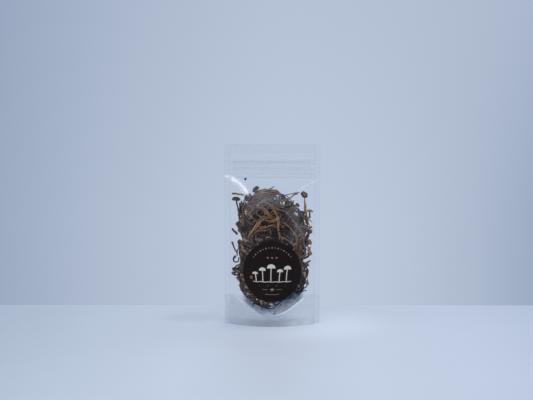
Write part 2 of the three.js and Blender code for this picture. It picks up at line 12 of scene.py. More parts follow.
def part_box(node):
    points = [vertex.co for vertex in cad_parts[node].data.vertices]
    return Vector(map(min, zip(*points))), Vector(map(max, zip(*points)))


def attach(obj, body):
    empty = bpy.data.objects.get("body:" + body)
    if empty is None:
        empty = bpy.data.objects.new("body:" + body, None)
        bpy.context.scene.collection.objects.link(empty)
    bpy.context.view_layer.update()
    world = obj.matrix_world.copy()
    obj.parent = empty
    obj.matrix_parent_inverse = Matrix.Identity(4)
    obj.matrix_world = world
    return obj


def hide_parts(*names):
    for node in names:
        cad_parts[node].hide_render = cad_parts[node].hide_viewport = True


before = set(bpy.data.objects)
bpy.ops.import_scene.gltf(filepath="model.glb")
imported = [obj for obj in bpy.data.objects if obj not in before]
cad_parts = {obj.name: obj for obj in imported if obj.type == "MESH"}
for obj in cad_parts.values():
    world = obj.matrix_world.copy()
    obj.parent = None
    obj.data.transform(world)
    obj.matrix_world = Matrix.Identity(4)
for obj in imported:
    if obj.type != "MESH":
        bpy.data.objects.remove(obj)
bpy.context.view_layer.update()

# ---------------------------------------------------------------- sizes, as in the solids

HALF_WIDTH = 52.5
HEIGHT = 200.0
INNER_HALF = 46.5
FILM = 0.4
GAP = 0.3
CORNER = 3.0
DEPTH_FOOT, DEPTH_MAX, DEPTH_ZIP = 15.0, 17.2, 1.65
FULLEST_Z = 25.0
FILL_POWER, LENS_POWER = 2.4, 2.2
GUSSET_SIDE_Z, GUSSET_MIDDLE_Z = 33.0, 10.6
GUSSET_CURVE, GUSSET_SAG = 1.7, 4.6
ZIP_LOW_Z, ZIP_HIGH_Z, TOP_SEAL_Z = 164.0, 184.0, 190.0
ZIP_HALF_LENGTH = 42.5
NOTCH_Z, NOTCH_TIP = 187.0, 50.5
LABEL_RADIUS, LABEL_Z, LABEL_X_SHARE = 33.0, 61.8, 0.967
MID_Y = 500.0 * (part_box("front_film")[0].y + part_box("back_film")[1].y)


def smooth(low, high, value):
    t = np.clip((value - low) / (high - low), 0, 1)
    return t * t * (3 - 2 * t)


def fade(low, high, value):
    return 1 - smooth(low, high, value)


def seal_half_gap(z):
    return (GAP / 2 + FILM + GAP) + (-FILM - GAP) * smooth(GUSSET_SIDE_Z + 1, GUSSET_SIDE_Z + 9, z)


def middle_depth(z):
    z = np.asarray(z, float)
    rise = np.clip((z - FULLEST_Z) / (ZIP_LOW_Z - FULLEST_Z), 0, 1)
    body = DEPTH_ZIP + (DEPTH_MAX - DEPTH_ZIP) * (1 - rise ** FILL_POWER)
    foot = DEPTH_MAX - (DEPTH_MAX - DEPTH_FOOT) * (1 - z / FULLEST_Z) ** 2
    zone = DEPTH_ZIP * fade(ZIP_HIGH_Z, TOP_SEAL_Z, z)
    return np.where(z >= ZIP_LOW_Z, zone, np.where(z <= FULLEST_Z, foot, body))


def inner_depth(x, z):
    """Half the inner depth of the bag at a place seen from the front."""
    across = np.minimum(np.abs(x) / INNER_HALF, 1)
    round_ = 1 - across ** LENS_POWER
    flat = fade(ZIP_HALF_LENGTH + 1, INNER_HALF, np.abs(x))
    zip_ = smooth(ZIP_LOW_Z - 14, ZIP_LOW_Z, z)
    return seal_half_gap(z) + middle_depth(z) * (round_ + (flat - round_) * zip_)


def round_seal_z(x):
    across = np.minimum(np.abs(x) / INNER_HALF, 1)
    rise = np.sin(across * math.pi / 2) ** GUSSET_CURVE
    return GUSSET_MIDDLE_Z + (GUSSET_SIDE_Z - GUSSET_MIDDLE_Z) * rise


# The cloudy weld as it is drawn, which the solids don't have.
WELD_MIDDLE_Z, WELD_CURVE = 13.0, 2.5
WELD_SHIFT, WELD_LEFT_SHIFT = 1.5, 2.5


def weld_line_z(x):
    """Where the films' cloudy weld ends: the round seal's line, a little squarer and to the left."""
    shift = WELD_SHIFT + WELD_LEFT_SHIFT * fade(-14, 0, x)
    across = np.minimum(np.abs(x + shift) / INNER_HALF, 1)
    rise = np.sin(across * math.pi / 2) ** WELD_CURVE
    return WELD_MIDDLE_Z + (GUSSET_SIDE_Z - WELD_MIDDLE_Z) * rise


def floor_z(x, across):
    slack = np.maximum(0, 1 - (x / INNER_HALF) ** 2)
    return round_seal_z(x) - GUSSET_SAG * slack * (1 - across * across)


def edge_x(z):
    """The side edge, with its round corners and its tear notch."""
    nearest = np.clip(np.minimum(z, HEIGHT - z), 0, CORNER)
    edge = HALF_WIDTH - CORNER + np.sqrt(CORNER ** 2 - (CORNER - nearest) ** 2)
    return np.minimum(edge, NOTCH_TIP + 2 * np.abs(z - NOTCH_Z))


def random_from(seed):
    """The same numbers from the same seed, every time (mulberry32)."""
    state = seed

    def step():
        nonlocal state
        state = (state + 0x6D2B79F5) & 0xFFFFFFFF
        t = ((state ^ (state >> 15)) * (1 | state)) & 0xFFFFFFFF
        t = ((t + ((t ^ (t >> 7)) * (61 | t))) ^ t) & 0xFFFFFFFF
        return (t ^ (t >> 14)) / 4294967296

    return step


# ---------------------------------------------------------------- meshes

def to_row(points):
    """Millimetres in the pouch's frame to metres in the row frame."""
    points = np.asarray(points, float) + (0, MID_Y, 0)
    return points * 0.001


def link_piece(name, mesh, material):
    mesh.materials.append(material)
    piece = bpy.data.objects.new(name, mesh)
    bpy.context.scene.collection.objects.link(piece)
    return piece


def make_object(name, points, faces, material, replaced=(), smooth_faces=True, attributes=None):
    mesh = bpy.data.meshes.new(name)
    mesh.from_pydata(to_row(points).tolist(), [], faces)
    for key, values in (attributes or {}).items():
        layer = mesh.attributes.new(key, "FLOAT", "POINT")
        layer.data.foreach_set("value", np.asarray(values, np.float32))
    mesh.shade_smooth() if smooth_faces else mesh.shade_flat()
    mesh.update()
    piece = link_piece(name, mesh, material)
    if replaced:
        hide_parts(*replaced)
    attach(piece, "root")


def grid_faces(rows, columns, start=0, turned=False):
    faces = []
    for i in range(rows - 1):
        for j in range(columns - 1):
            a = start + i * columns + j
            quad = [a, a + columns, a + columns + 1, a + 1]
            faces.append(quad[::-1] if turned else quad)
    return faces


def sheet_points(x, y, z):
    """Points at x and z that all have the same y."""
    return np.stack([x, np.full_like(x, y), z], 1)


def noise_field(points, size, seed, octaves=3):
    """Smooth noise from about -1 to 1 at points in mm, with features of about that size."""
    shift = Vector((seed * 7.3, seed * 3.1, seed * 5.7))
    return np.array([noise.fractal(Vector(p) / size + shift, 0.6, 2.0, octaves) for p in points])


# ---------------------------------------------------------------- materials

def new_node(tree, kind, inputs):
    """A new node, each of whose given inputs is a plain value or another node's output."""
    made = tree.nodes.new("ShaderNode" + kind)
    for key, value in inputs.items():
        if isinstance(value, bpy.types.NodeSocket):
            tree.links.new(value, made.inputs[key])
        else:
            made.inputs[key].default_value = value
    return made


def output_of(tree, kind, inputs):
    return new_node(tree, kind, inputs).outputs[0]


def mixed(tree, share, first, second):
    return output_of(tree, "MixShader", {0: share, 1: first, 2: second})


def new_material(name):
    material = bpy.data.materials.new(name)
    material.use_nodes = True
    material.node_tree.nodes.clear()
    return material, material.node_tree


def ramp(tree, factor, stops):
    made = new_node(tree, "ValToRGB", {"Fac": factor})
    elements = made.color_ramp.elements
    while len(elements) < len(stops):
        elements.new(0.5)
    for element, (place, colour) in zip(elements, stops):
        element.position = place
        element.color = (*colour, 1)
    return made.outputs["Color"]


def mix_colours(tree, factor, first, second, blend="MIX"):
    made = new_node(tree, "MixRGB", {0: factor, 1: first, 2: second})
    made.blend_type = blend
    return made.outputs[0]


def multiplied(tree, first, second):
    return mix_colours(tree, 1.0, first, second, "MULTIPLY")


def math_node(tree, operation, a, b, clamped=False):
    made = new_node(tree, "Math", {0: a, 1: b})
    made.operation = operation
    made.use_clamp = clamped
    return made.outputs[0]


def added(tree, a, b, clamped=False):
    return math_node(tree, "ADD", a, b, clamped)


def times(tree, a, b, clamped=False):
    return math_node(tree, "MULTIPLY", a, b, clamped)


def object_place(tree):
    return new_node(tree, "TexCoord", {}).outputs["Object"]


def noise_node(tree, scale, detail, roughness=0.55, stretch=(1, 1, 1)):
    place = output_of(tree, "Mapping", {"Vector": object_place(tree), "Scale": stretch})
    settings = {"Vector": place, "Scale": scale, "Detail": detail, "Roughness": roughness}
    return new_node(tree, "TexNoise", settings).outputs["Fac"]


def bump_node(tree, height, strength, distance):
    return output_of(tree, "Bump", {"Strength": strength, "Distance": distance, "Height": height})


def attribute(tree, name):
    made = new_node(tree, "Attribute", {})
    made.attribute_name = name
    return made.outputs["Fac"]


def srgb(r, g, b):
    return tuple(((c / 255 + 0.055) / 1.055) ** 2.4 if c > 10 else c / 255 / 12.92 for c in (r, g, b))


# The film: the fixed way its painted highlights face, so that they mirror the key light, its tones, and how
# much of its haze glows through. The dim tone is the colour of its painted shade.
HIGHLIGHT_FACING = (0.31, -0.68, 0.66)
HIGHLIGHT_TONE = (0.9, 0.94, 1, 1)
CLEAR_TONE = (0.988, 0.990, 0.994, 1)
MILK_TONE = (0.76, 0.80, 0.86, 1)
DIM_TONE = (0.042, 0.072, 0.135, 1)
GLOW_SHARE = 0.6
FILM_ROUGHNESS, HIGHLIGHT_ROUGHNESS, FILM_BUMP = 0.10, 0.3, 0.3
FILM_IOR, GUSSET_IOR = 1.33, 1.12

ZIP_TONE = (*srgb(214, 222, 234), 1)
ZIP_CLEAR_TONE = (0.998, 0.998, 0.999, 1)

# The fine wrinkles over dried flesh.
WRINKLE_TONES = [(0.3, (0.23, 0.215, 0.22)), (0.62, (0.57, 0.52, 0.515))]


def film_material(name, ior):
    """Clear glossy film: the attribute haze says how milky it is, dim how dark (painted shade), gleam how
    much painted highlight it shines with.
    """
    material, tree = new_material(name)
    crumple = noise_node(tree, 60, 3)
    height = added(tree, crumple, times(tree, noise_node(tree, 900, 2), 0.04))
    normal = bump_node(tree, height, FILM_BUMP, 0.002)
    clear = output_of(tree, "BsdfTransparent", {"Color": CLEAR_TONE})
    gloss = output_of(tree, "BsdfGlossy", {"Roughness": FILM_ROUGHNESS, "Normal": normal})
    # A thin film mirrors the same from both its sides.
    behind = new_node(tree, "NewGeometry", {}).outputs["Backfacing"]
    index = added(tree, times(tree, behind, 1 / ior - ior), ior)
    fresnel = output_of(tree, "Fresnel", {"IOR": index, "Normal": normal})
    skin = mixed(tree, fresnel, clear, gloss)
    tone = mix_colours(tree, attribute(tree, "dim"), MILK_TONE, DIM_TONE)
    milk = output_of(tree, "BsdfDiffuse", {"Color": tone})
    glow = output_of(tree, "BsdfTranslucent", {"Color": tone})
    grain = added(tree, times(tree, crumple, 0.8), 0.6)
    haze = times(tree, attribute(tree, "haze"), grain, True)
    whole = mixed(tree, haze, skin, mixed(tree, GLOW_SHARE, milk, glow))
    # Painted highlight: where gleam is, a gloss with a fixed facing mirrors the key light.
    facing = output_of(tree, "CombineXYZ", dict(enumerate(HIGHLIGHT_FACING)))
    look = {"Roughness": HIGHLIGHT_ROUGHNESS, "Color": HIGHLIGHT_TONE, "Normal": facing}
    crease = output_of(tree, "BsdfGlossy", look)
    lit = mixed(tree, attribute(tree, "gleam"), whole, crease)
    new_node(tree, "OutputMaterial", {"Surface": lit})
    return material


def zip_material():
    """Nearly clear extruded strip with fine lines along it."""
    material, tree = new_material("zip_strip")
    lines = noise_node(tree, 120, 2, 0.5, (0.02, 1, 14))
    look = {"Base Color": ZIP_TONE, "Roughness": 0.3, "Normal": bump_node(tree, lines, 0.4, 0.0004)}
    body = output_of(tree, "BsdfPrincipled", look)
    clear = output_of(tree, "BsdfTransparent", {"Color": ZIP_CLEAR_TONE})
    surface = mixed(tree, times(tree, lines, 0.02), clear, body)
    new_node(tree, "OutputMaterial", {"Surface": surface})
    return material


def dull_material(material, tree, colour, roughness, sheen, normal):
    look = {"Base Color": colour, "Roughness": roughness, "Specular IOR Level": sheen, "Normal": normal}
    body = output_of(tree, "BsdfPrincipled", look)
    new_node(tree, "OutputMaterial", {"Surface": body})
    return material


def mushroom_material(name, tones, roughness):
    """Dried flesh: each stem has its own tone, with blotches, long wrinkles whose folds carry painted light
    and shade, and a dull sheen.
    """
    material, tree = new_material(name)
    blotch = math_node(tree, "SUBTRACT", noise_node(tree, 320, 4), 0.5)
    wrinkle = noise_node(tree, 850, 5, 0.65)
    groove = attribute(tree, "groove")
    # Painted light and shade: lighter on the folds' ridges, darker in their grooves.
    lit_folds = added(tree, attribute(tree, "tone"), times(tree, groove, 0.55))
    patchy = added(tree, lit_folds, times(tree, blotch, 0.8), True)
    pale = ramp(tree, patchy, PALE_TONES)
    colour = mix_colours(tree, attribute(tree, "pale"), ramp(tree, patchy, tones), pale)
    wrinkled = multiplied(tree, colour, ramp(tree, wrinkle, WRINKLE_TONES))
    relief = added(tree, groove, times(tree, wrinkle, 0.6))
    return dull_material(material, tree, wrinkled, roughness, 0.35, bump_node(tree, relief, 0.7, 0.0003))


def paper_material(name, colour, speckle, roughness):
    material, tree = new_material(name)
    fibre = noise_node(tree, 700, 6, 0.7, (1, 1, 2.5))
    dark = tuple(c * (1 - speckle) for c in colour)
    light = tuple(min(1, c * (1 + speckle)) for c in colour)
    tone = ramp(tree, fibre, [(0.3, dark), (0.7, light)])
    return dull_material(material, tree, tone, roughness, 0.2, bump_node(tree, fibre, 0.25, 0.00008))


STEM_TONES = [
    (0.0, srgb(14, 15, 24)),
    (0.25, srgb(42, 31, 32)),
    (0.5, srgb(96, 62, 46)),
    (0.75, srgb(178, 118, 72)),
    (1.0, srgb(244, 196, 136)),
]
CAP_TONES = [
    (0.0, srgb(14, 15, 24)),
    (0.4, srgb(42, 34, 38)),
    (0.75, srgb(112, 78, 56)),
    (1.0, srgb(206, 160, 110)),
]
PALE_TONES = [
    (0.0, srgb(46, 44, 56)),
    (0.5, srgb(158, 142, 148)),
    (1.0, srgb(250, 232, 208)),
]

# ---------------------------------------------------------------- camera, light and stage

# Millimetres and degrees.
CAMERA_DISTANCE = 1362.3
CAMERA_HEIGHT = 344.5
CAMERA_PITCH = 8.6
CAMERA_YAW = 0.262

# Metres from here on, up to the films.
TABLE_BACK = 0.087
WALL_BACK = 1.25
WALL_TONE = srgb(178, 190, 210)
WORLD_TONES = [(0.0, (0.30, 0.33, 0.38)), (0.45, (0.46, 0.50, 0.58)), (0.62, WALL_TONE), (1, WALL_TONE)]

# The wall's two tones, and where it is brightest.
WALL_DULL, WALL_BRIGHT = (0.302, 0.377, 0.509, 1), (0.517, 0.587, 0.721, 1)
WALL_MIDDLE, WALL_LEFT_END, WALL_RIGHT_END = 0.036, -0.58, 0.56

# How bright its middle is and how much is lost by either end: higher up, and how much more below.
MIDDLE_LIGHT, LEFT_LOSS, RIGHT_LOSS = (0.67, 0.33), (0.67, 0.19), (0.13, 0.73)

# The table's tone from left to right, with painted light: brighter either side of the pouch, painted shade
# under its middle, and duller towards both ends.
TABLE_LIT_TONES = [
    (0.0, (0.46, 0.52, 0.60)),
    (0.2, (0.54, 0.60, 0.68)),
    (0.36, (0.59, 0.64, 0.72)),
    (0.5, (0.56, 0.61, 0.68)),
    (0.64, (0.58, 0.63, 0.71)),
    (0.8, (0.55, 0.60, 0.69)),
    (1.0, (0.47, 0.53, 0.62)),
]

# Painted light and shadow on the table round the pouch's foot: two paler places that lift its shadow, and a
# painted shadow behind it to the left: middle, halves and how much.
TABLE_LIGHT_AND_SHADOW = [
    ((0.02, 0.0), (0.13, 0.10), (1.16, 1.16, 1.16, 1)),
    ((0.006, 0.0), (0.058, 0.019), (1.06, 1.06, 1.06, 1)),
    ((-0.090, 0.026), (0.050, 0.030), (0.90, 0.905, 0.91, 1)),
]


def make_camera():
    data = bpy.data.cameras.new("camera")
    data.lens = 85
    data.sensor_width = 36
    data.clip_start, data.clip_end = 0.05, 50
    camera = bpy.data.objects.new("camera", data)
    bpy.context.scene.collection.objects.link(camera)
    camera.location = (0, (MID_Y - CAMERA_DISTANCE) / 1000, CAMERA_HEIGHT / 1000)
    camera.rotation_euler = (math.radians(90 - CAMERA_PITCH), 0, math.radians(CAMERA_YAW))
    bpy.context.scene.camera = camera


def area_light(name, place, target, size, power):
    data = bpy.data.lights.new(name, "AREA")
    data.size = size
    data.energy = power
    light = bpy.data.objects.new(name, data)
    bpy.context.scene.collection.objects.link(light)
    light.location = place
    light.rotation_euler = (Vector(target) - Vector(place)).to_track_quat("-Z", "Y").to_euler()


def make_world():
    """Pale blue-grey all round, as the camera sees it; for light, dim in front and bright behind."""
    world = bpy.data.worlds.new("world")
    bpy.context.scene.world = world
    world.use_nodes = True
    tree = world.node_tree
    tree.nodes.clear()
    place = new_node(tree, "TexCoord", {}).outputs["Generated"]
    towards_back = new_node(tree, "SeparateXYZ", {0: place}).outputs["Y"]
    light = ramp(tree, added(tree, times(tree, towards_back, 0.5), 0.5), WORLD_TONES)
    seen = new_node(tree, "LightPath", {}).outputs["Is Camera Ray"]
    tone = mix_colours(tree, seen, light, (*WALL_TONE, 1))
    background = output_of(tree, "Background", {"Color": tone})
    new_node(tree, "OutputWorld", {"Surface": background})


def stage_piece(name, points, faces, material):
    mesh = bpy.data.meshes.new(name)
    mesh.from_pydata(points, [], faces)
    link_piece(name, mesh, material)


def position_share(tree, axis, low, high):
    """0 at one place along an object's axis and 1 at another."""
    split = new_node(tree, "SeparateXYZ", {0: object_place(tree)})
    moved = math_node(tree, "SUBTRACT", split.outputs[axis], low)
    return math_node(tree, "DIVIDE", moved, high - low, True)


def make_wall():
    """A plain wall far behind that glows, with painted light: brightest behind the pouch and duller to both
    sides.
    """
    material, tree = new_material("wall")
    lower = position_share(tree, "Z", 0.50, -0.10)

    def varied(at_top, more_below):
        return added(tree, times(tree, lower, more_below), at_top)

    left = math_node(tree, "POWER", position_share(tree, "X", WALL_MIDDLE, WALL_LEFT_END), 1.5)
    right = math_node(tree, "POWER", position_share(tree, "X", WALL_MIDDLE, WALL_RIGHT_END), 2)
    loss = added(tree, times(tree, left, varied(*LEFT_LOSS)), times(tree, right, varied(*RIGHT_LOSS)))
    light = math_node(tree, "SUBTRACT", varied(*MIDDLE_LIGHT), loss, True)
    glow = output_of(tree, "Emission", {"Color": mix_colours(tree, light, WALL_DULL, WALL_BRIGHT)})
    new_node(tree, "OutputMaterial", {"Surface": glow})
    points = [(x, WALL_BACK, z) for x, z in ((-4, -2), (4, -2), (4, 4), (-4, 4))]
    stage_piece("wall", points, [[0, 1, 2, 3]], material)


def spot_share(tree, middle, halves):
    """1 near a place on an object's top, falling to 0 at an oval with the given halves."""
    scales = (1 / halves[0], 1 / halves[1], 0)
    shift = (-middle[0] / halves[0], -middle[1] / halves[1], 0)
    scaled = new_node(tree, "VectorMath", {0: object_place(tree), 1: scales, 2: shift})
    scaled.operation = "MULTIPLY_ADD"
    length = new_node(tree, "VectorMath", {0: scaled.outputs[0]})
    length.operation = "LENGTH"
    ends = {"Value": length.outputs["Value"], "From Min": 1.0, "From Max": 0.3}
    share = new_node(tree, "MapRange", ends)
    share.interpolation_type = "SMOOTHSTEP"
    return share.outputs["Result"]


def make_table():
    """A pale table with a plain back edge, whose tone carries painted light and shade."""
    material, tree = new_material("table")
    # Painted light and shade across the table, from left to right.
    lit_tone = ramp(tree, position_share(tree, "X", -0.32, 0.32), TABLE_LIT_TONES)
    # Painted light and shadow round the pouch's foot.
    for middle, halves, paler in TABLE_LIGHT_AND_SHADOW:
        lit_tone = mix_colours(tree, spot_share(tree, middle, halves), lit_tone, multiplied(tree, lit_tone, paler))
    cloud = ramp(tree, noise_node(tree, 6, 3), [(0.3, (0.97, 0.97, 0.97)), (0.7, (1, 1, 1))])
    look = {"Base Color": multiplied(tree, lit_tone, cloud), "Roughness": 0.6}
    new_node(tree, "OutputMaterial", {"Surface": output_of(tree, "BsdfPrincipled", look)})
    points = [(x, y, z) for z in (-0.02, 0.0) for y in (-1.5, TABLE_BACK) for x in (-1.3, 1.3)]
    faces = [[0, 2, 3, 1], [4, 5, 7, 6], [0, 1, 5, 4], [2, 6, 7, 3], [0, 4, 6, 2], [1, 3, 7, 5]]
    stage_piece("table", points, faces, material)


make_camera()
make_world()
make_wall()
make_table()
area_light("key_light", (0.5, -0.1, 1.2), (0, 0, 0.08), 1.8, 13)
area_light("fill_light", (-1.0, -0.7, 0.7), (0, 0, 0.1), 1.6, 6)
bpy.context.scene.view_settings.view_transform = "Standard"
bpy.context.scene.cycles.transparent_max_bounces = 32
bpy.context.scene.cycles.max_bounces = 12

# ---------------------------------------------------------------- films

def line_distance(x, z, a, b):
    """Distance of points from the segment a-b, and how far along it they are (0 to 1)."""
    ax, az = a
    dx, dz = b[0] - ax, b[1] - az
    along = np.clip(((x - ax) * dx + (z - az) * dz) / (dx * dx + dz * dz), 0, 1)
    return np.hypot(x - ax - along * dx, z - az - along * dz), along


def bell(distance, width):
    return np.exp(-((distance / width) ** 2))


def course_distance(x, z, course):
    """Distance of points from a bent line, and how far along it they are (0 to 1)."""
    best, place = np.full_like(x, 1e9), np.zeros_like(x)
    for k, (a, b) in enumerate(zip(course, course[1:])):
        distance, along = line_distance(x, z, a, b)
        nearer = distance < best
        best = np.where(nearer, distance, best)
        place = np.where(nearer, (k + along) / (len(course) - 1), place)
    return best, place


# Creases that catch the light, raised in the film, with painted highlights in their milk and gleam: x and z
# along each, half width, how milky and how much they gleam.
CREASES = [
    ([(-52.4, 165.5), (-45, 162.6), (-36, 156), (-29.4, 149.4), (-26.0, 144.0)], 3.7, 0.2, 0.45),
    ([(-37, 161), (-29, 155.5), (-24, 149)], 0.9, 0.12, 0.03),
    ([(52.4, 162.5), (45, 158.5), (36, 154), (27, 148.6)], 1.3, 0.25, 0.12),
    ([(52.4, 161), (46, 160.5), (38, 158)], 1.4, 0.15, 0.05),
    ([(-36, 190), (-20, 186), (-2, 184), (10, 188)], 1.2, 0.05, 0.0),
    ([(24, 185), (32, 190), (42, 193), (50, 190)], 2.0, 0.10, 0.02),
    ([(-6, 193), (-1, 185), (4, 193)], 0.6, 0.07, 0.0),
    ([(46, 150), (45.5, 120), (45, 80)], 0.7, 0.10, 0.0),
    ([(-45, 150), (-45.5, 110), (-45, 60)], 0.7, 0.07, 0.0),
]

# Painted reflections: places where milk on the film stands in for the light it mirrors: x, z, half width,
# half height and how milky.
GLARE_PATCHES = [
    (-4, 139, 20, 6, 0.24),
    (-14, 146, 10, 4, 0.08),
    (24, 124, 6.5, 6, 0.30),
    (29, 108, 6, 7, 0.22),
    (22, 99, 8, 6, 0.10),
    (-31, 152, 8, 5, 0.05),
    (-30, 60, 8, 20, 0.02),
]

# Fine lines along the zip and its heat marks: height, half width, how milky, how far it stands out.
ZIP_LINES = [
    (181.9, 0.5, 0.16, 0.15),
    (178.6, 0.7, 0.26, 0.25),
    (176.6, 0.35, 0.06, 0.35),
    (172.4, 0.6, 0.20, 0.1),
    (167.2, 0.7, 0.26, 0.25),
    (164.9, 0.4, 0.08, 0.2),
]

# Where the relief and the zip's lines set in or die out: from the first number to the second.
BODY_SIDES, ZIP_SIDES, SEAM_SIDES, LINE_SIDES = (38, 46), (41, 44), (44, 47), (41, 45)
BODY_TOP, SLACK_FOOT, SLACK_TOP = (140, 160), (138, 150), (160, 164)

# How far above the seal the relief is full.
BODY_RISE = 12

# How far the film's lumps, ripples and slack stand out, and how wide they are.
LUMPS, RIPPLES, SLACK = (0.35, 16), (0.12, 6), (0.3, 20)
SEAM_LIFT, SEAM_WIDTH = 0.25, 0.8


def film_relief(x, z, side):
    """How far the film stands out beyond its plain shape, in mm."""
    points = sheet_points(x, side * 40.0, z)
    aside = np.abs(x)
    seal = round_seal_z(x)
    body = smooth(seal, seal + BODY_RISE, z) * fade(*BODY_TOP, z) * fade(*BODY_SIDES, aside)
    lumps = LUMPS[0] * noise_field(points, LUMPS[1], 3)
    ripples = RIPPLES[0] * noise_field(points, RIPPLES[1], 5)
    slack = smooth(*SLACK_FOOT, z) * fade(*SLACK_TOP, z) * fade(*BODY_SIDES, aside)
    lift = body * (lumps + ripples) + slack * SLACK[0] * noise_field(points, SLACK[1], 8, 2)
    for height, width, _, size in ZIP_LINES:
        lift = lift + size * bell(z - height, width + 0.3) * fade(*ZIP_SIDES, aside)
    lift = lift + SEAM_LIFT * bell(z - weld_line_z(x), SEAM_WIDTH) * fade(*SEAM_SIDES, aside)
    if side < 0:
        for course, width, milk, gleam in CREASES:
            distance, along = course_distance(x, z, course)
            lift = lift + (milk + 2 * gleam) * bell(distance, width) * np.sin(along * math.pi) ** 0.6
    return lift


def crease_share(x, z, course, width):
    """1 along a crease, less towards its sides and its ends."""
    distance, along = course_distance(x, z, course)
    taper = np.sin(np.clip(along, 0.02, 0.98) * math.pi) ** 0.5
    return fade(0.1, 1.35, distance / (width * taper))


# Painted highlights: along the weld's line at the right, and on the skirt's lower right.
WELD_GLEAM, SKIRT_GLEAM = 0.3, 0.06


def film_gleam(x, z, side):
    """How much painted highlight the film has, mirroring the light above it."""
    gleam = np.zeros_like(x)
    if side < 0:
        for course, width, _, shine in CREASES:
            gleam = gleam + shine * crease_share(x, z, course, width)
        rising = smooth(3, 9, x) * fade(33, 37, x)
        gleam = gleam + WELD_GLEAM * rising * bell(z - weld_line_z(x) - 0.2, 0.6)
        gleam = gleam + SKIRT_GLEAM * smooth(8, 24, x) * fade(40, 46, x) * fade(2, 8, z)
    return gleam


# How milky each part is: the plain film and its cloudiness, its seals, and the skirt under the weld.
PLAIN_HAZE, CLOUDY_HAZE = 0.010, 0.012
SIDE_SEAL_HAZE, TOP_SEAL_HAZE = 0.014, 0.04
SKIRT_HAZE, SKIRT_FALL, BACK_SKIRT_HAZE, FOOT_HAZE = 0.30, 0.16, 0.04, 0.5


def film_milk(x, z, side):
    """How milky the film is: 0 is clear. Its glare patches and the milk along its creases are painted
    reflections and highlights.
    """
    points = sheet_points(x, side * 60.0, z)
    haze = PLAIN_HAZE + CLOUDY_HAZE * np.clip(noise_field(points, 22, 11), 0, 1)
    side_seal = smooth(INNER_HALF - 0.6, INNER_HALF + 0.2, np.abs(x))
    top_seal = smooth(TOP_SEAL_Z, TOP_SEAL_Z + 0.8, z)
    haze = haze + SIDE_SEAL_HAZE * side_seal + TOP_SEAL_HAZE * top_seal * (1 - side_seal)
    skirt = SKIRT_HAZE - SKIRT_FALL * smooth(-6, 34, x) if side < 0 else BACK_SKIRT_HAZE
    haze = haze + skirt * fade(-0.4, 0.4, z - weld_line_z(x)) * (1 - 0.5 * side_seal)
    for height, width, milk, _ in ZIP_LINES:
        haze = haze + milk * bell(z - height, width) * (1 - side_seal)
    if side < 0:
        foot = (0.3 + 0.7 * smooth(6, 26, np.abs(x))) * (1 - 0.35 * smooth(8, 30, x))
        haze = haze + FOOT_HAZE * foot * fade(1.5, 11, z) * (1 - side_seal)
        torn = 1 + 0.5 * noise_field(points, 4, 17)
        # Painted reflections: milky patches where the film mirrors the light.
        for cx, cz, half_x, half_z, milk in GLARE_PATCHES:
            haze = haze + milk * torn * bell(np.hypot((x - cx) / half_x, (z - cz) / half_z), 1.0)
        # Painted highlights: milk along the creases.
        for course, width, milk, _ in CREASES:
            haze = haze + milk * crease_share(x, z, course, width)
    return haze


# How much of the painted shade over the gusset each film carries.
FRONT_SHADE_SHARE, BACK_SHADE_SHARE = 0.95, 0.3
EDGE_DARK, SKIRT_DARK = 0.03, 0.06

# Fine lines of painted shade where light is bent away: height and how dark.
DARK_LINES = [(180.6, 0.11), (174.2, 0.07), (170.2, 0.04), (163.4, 0.10), (191.2, 0.03)]


def film_painted_shade(x, z, side):
    """How dark the film is: painted shade at its edges and folds, and over the gusset the bunch's shadow,
    painted in the pattern of the gusset's wrinkles that lie under it.
    """
    aside = np.abs(x)
    dark = np.zeros_like(x)
    for height, share in DARK_LINES:
        dark = dark + share * bell(z - height, 0.45) * fade(*LINE_SIDES, aside)
    edge = bell(aside - HALF_WIDTH, 0.6) + bell(z - HEIGHT, 0.5)
    dark = dark + EDGE_DARK * edge + EDGE_DARK * bell(aside - INNER_HALF, 0.4)
    # Painted shade over the gusset: the bunch's shadow seen through the film, hatched like the gusset's
    # wrinkles.
    above = z - weld_line_z(x)
    torn = noise_field(sheet_points(x, 7.0, z), 2.6, 29, 2)
    wrinkles = 0.84 + 0.13 * np.sin(1.9 * (x + 0.7 * z)) + 0.16 * torn
    right = smooth(-3, 2, x) * fade(29, 37, x)
    depth = 0.5 + 0.16 * smooth(8, 18, x) + 0.5 * smooth(3, 11, above)
    top = 17 - 7 * smooth(18, 26, x)
    hatched_shade = right * wrinkles * depth * smooth(0.2, 1.5, above) * fade(0, 3, above - top)
    left = smooth(-35, -26, x) * fade(-3, 2, x) * fade(9, 13, above)
    left_shade = left * (0.26 * smooth(0, 1.5, above) + 0.5 * smooth(1.5, 6, above))
    # Painted shadow of the seam at the left.
    line = 0.3 * bell(above - 1.6 + 0.05 * x, 0.5) * smooth(-21, -15, x) * fade(-6, -3, x)
    stroke = 0.4 * bell(x - 2.0 - 0.3 * above, 0.8) * smooth(0, 1, above) * fade(4, 6, above)
    dim = np.minimum(hatched_shade + left_shade + line + stroke, 1.0)
    clouded = SKIRT_DARK * fade(-0.4, 0.4, above) * fade(-6, 34, x) if side < 0 else 0
    return dark + clouded + (FRONT_SHADE_SHARE if side < 0 else BACK_SHADE_SHARE) * dim


def film_layers(x, z, side):
    milk, painted_shade = film_milk(x, z, side), film_painted_shade(x, z, side)
    return {"haze": milk + painted_shade, "dim": painted_shade / (milk + painted_shade), "gleam": film_gleam(x, z, side)}


def spaced(stops, step):
    """Numbers through the given stops, about a step apart."""
    values = [stops[0]]
    for a, b in zip(stops, stops[1:]):
        count = max(1, round((b - a) / step))
        values += [a + (b - a) * (k + 1) / count for k in range(count)]
    return np.array(values)


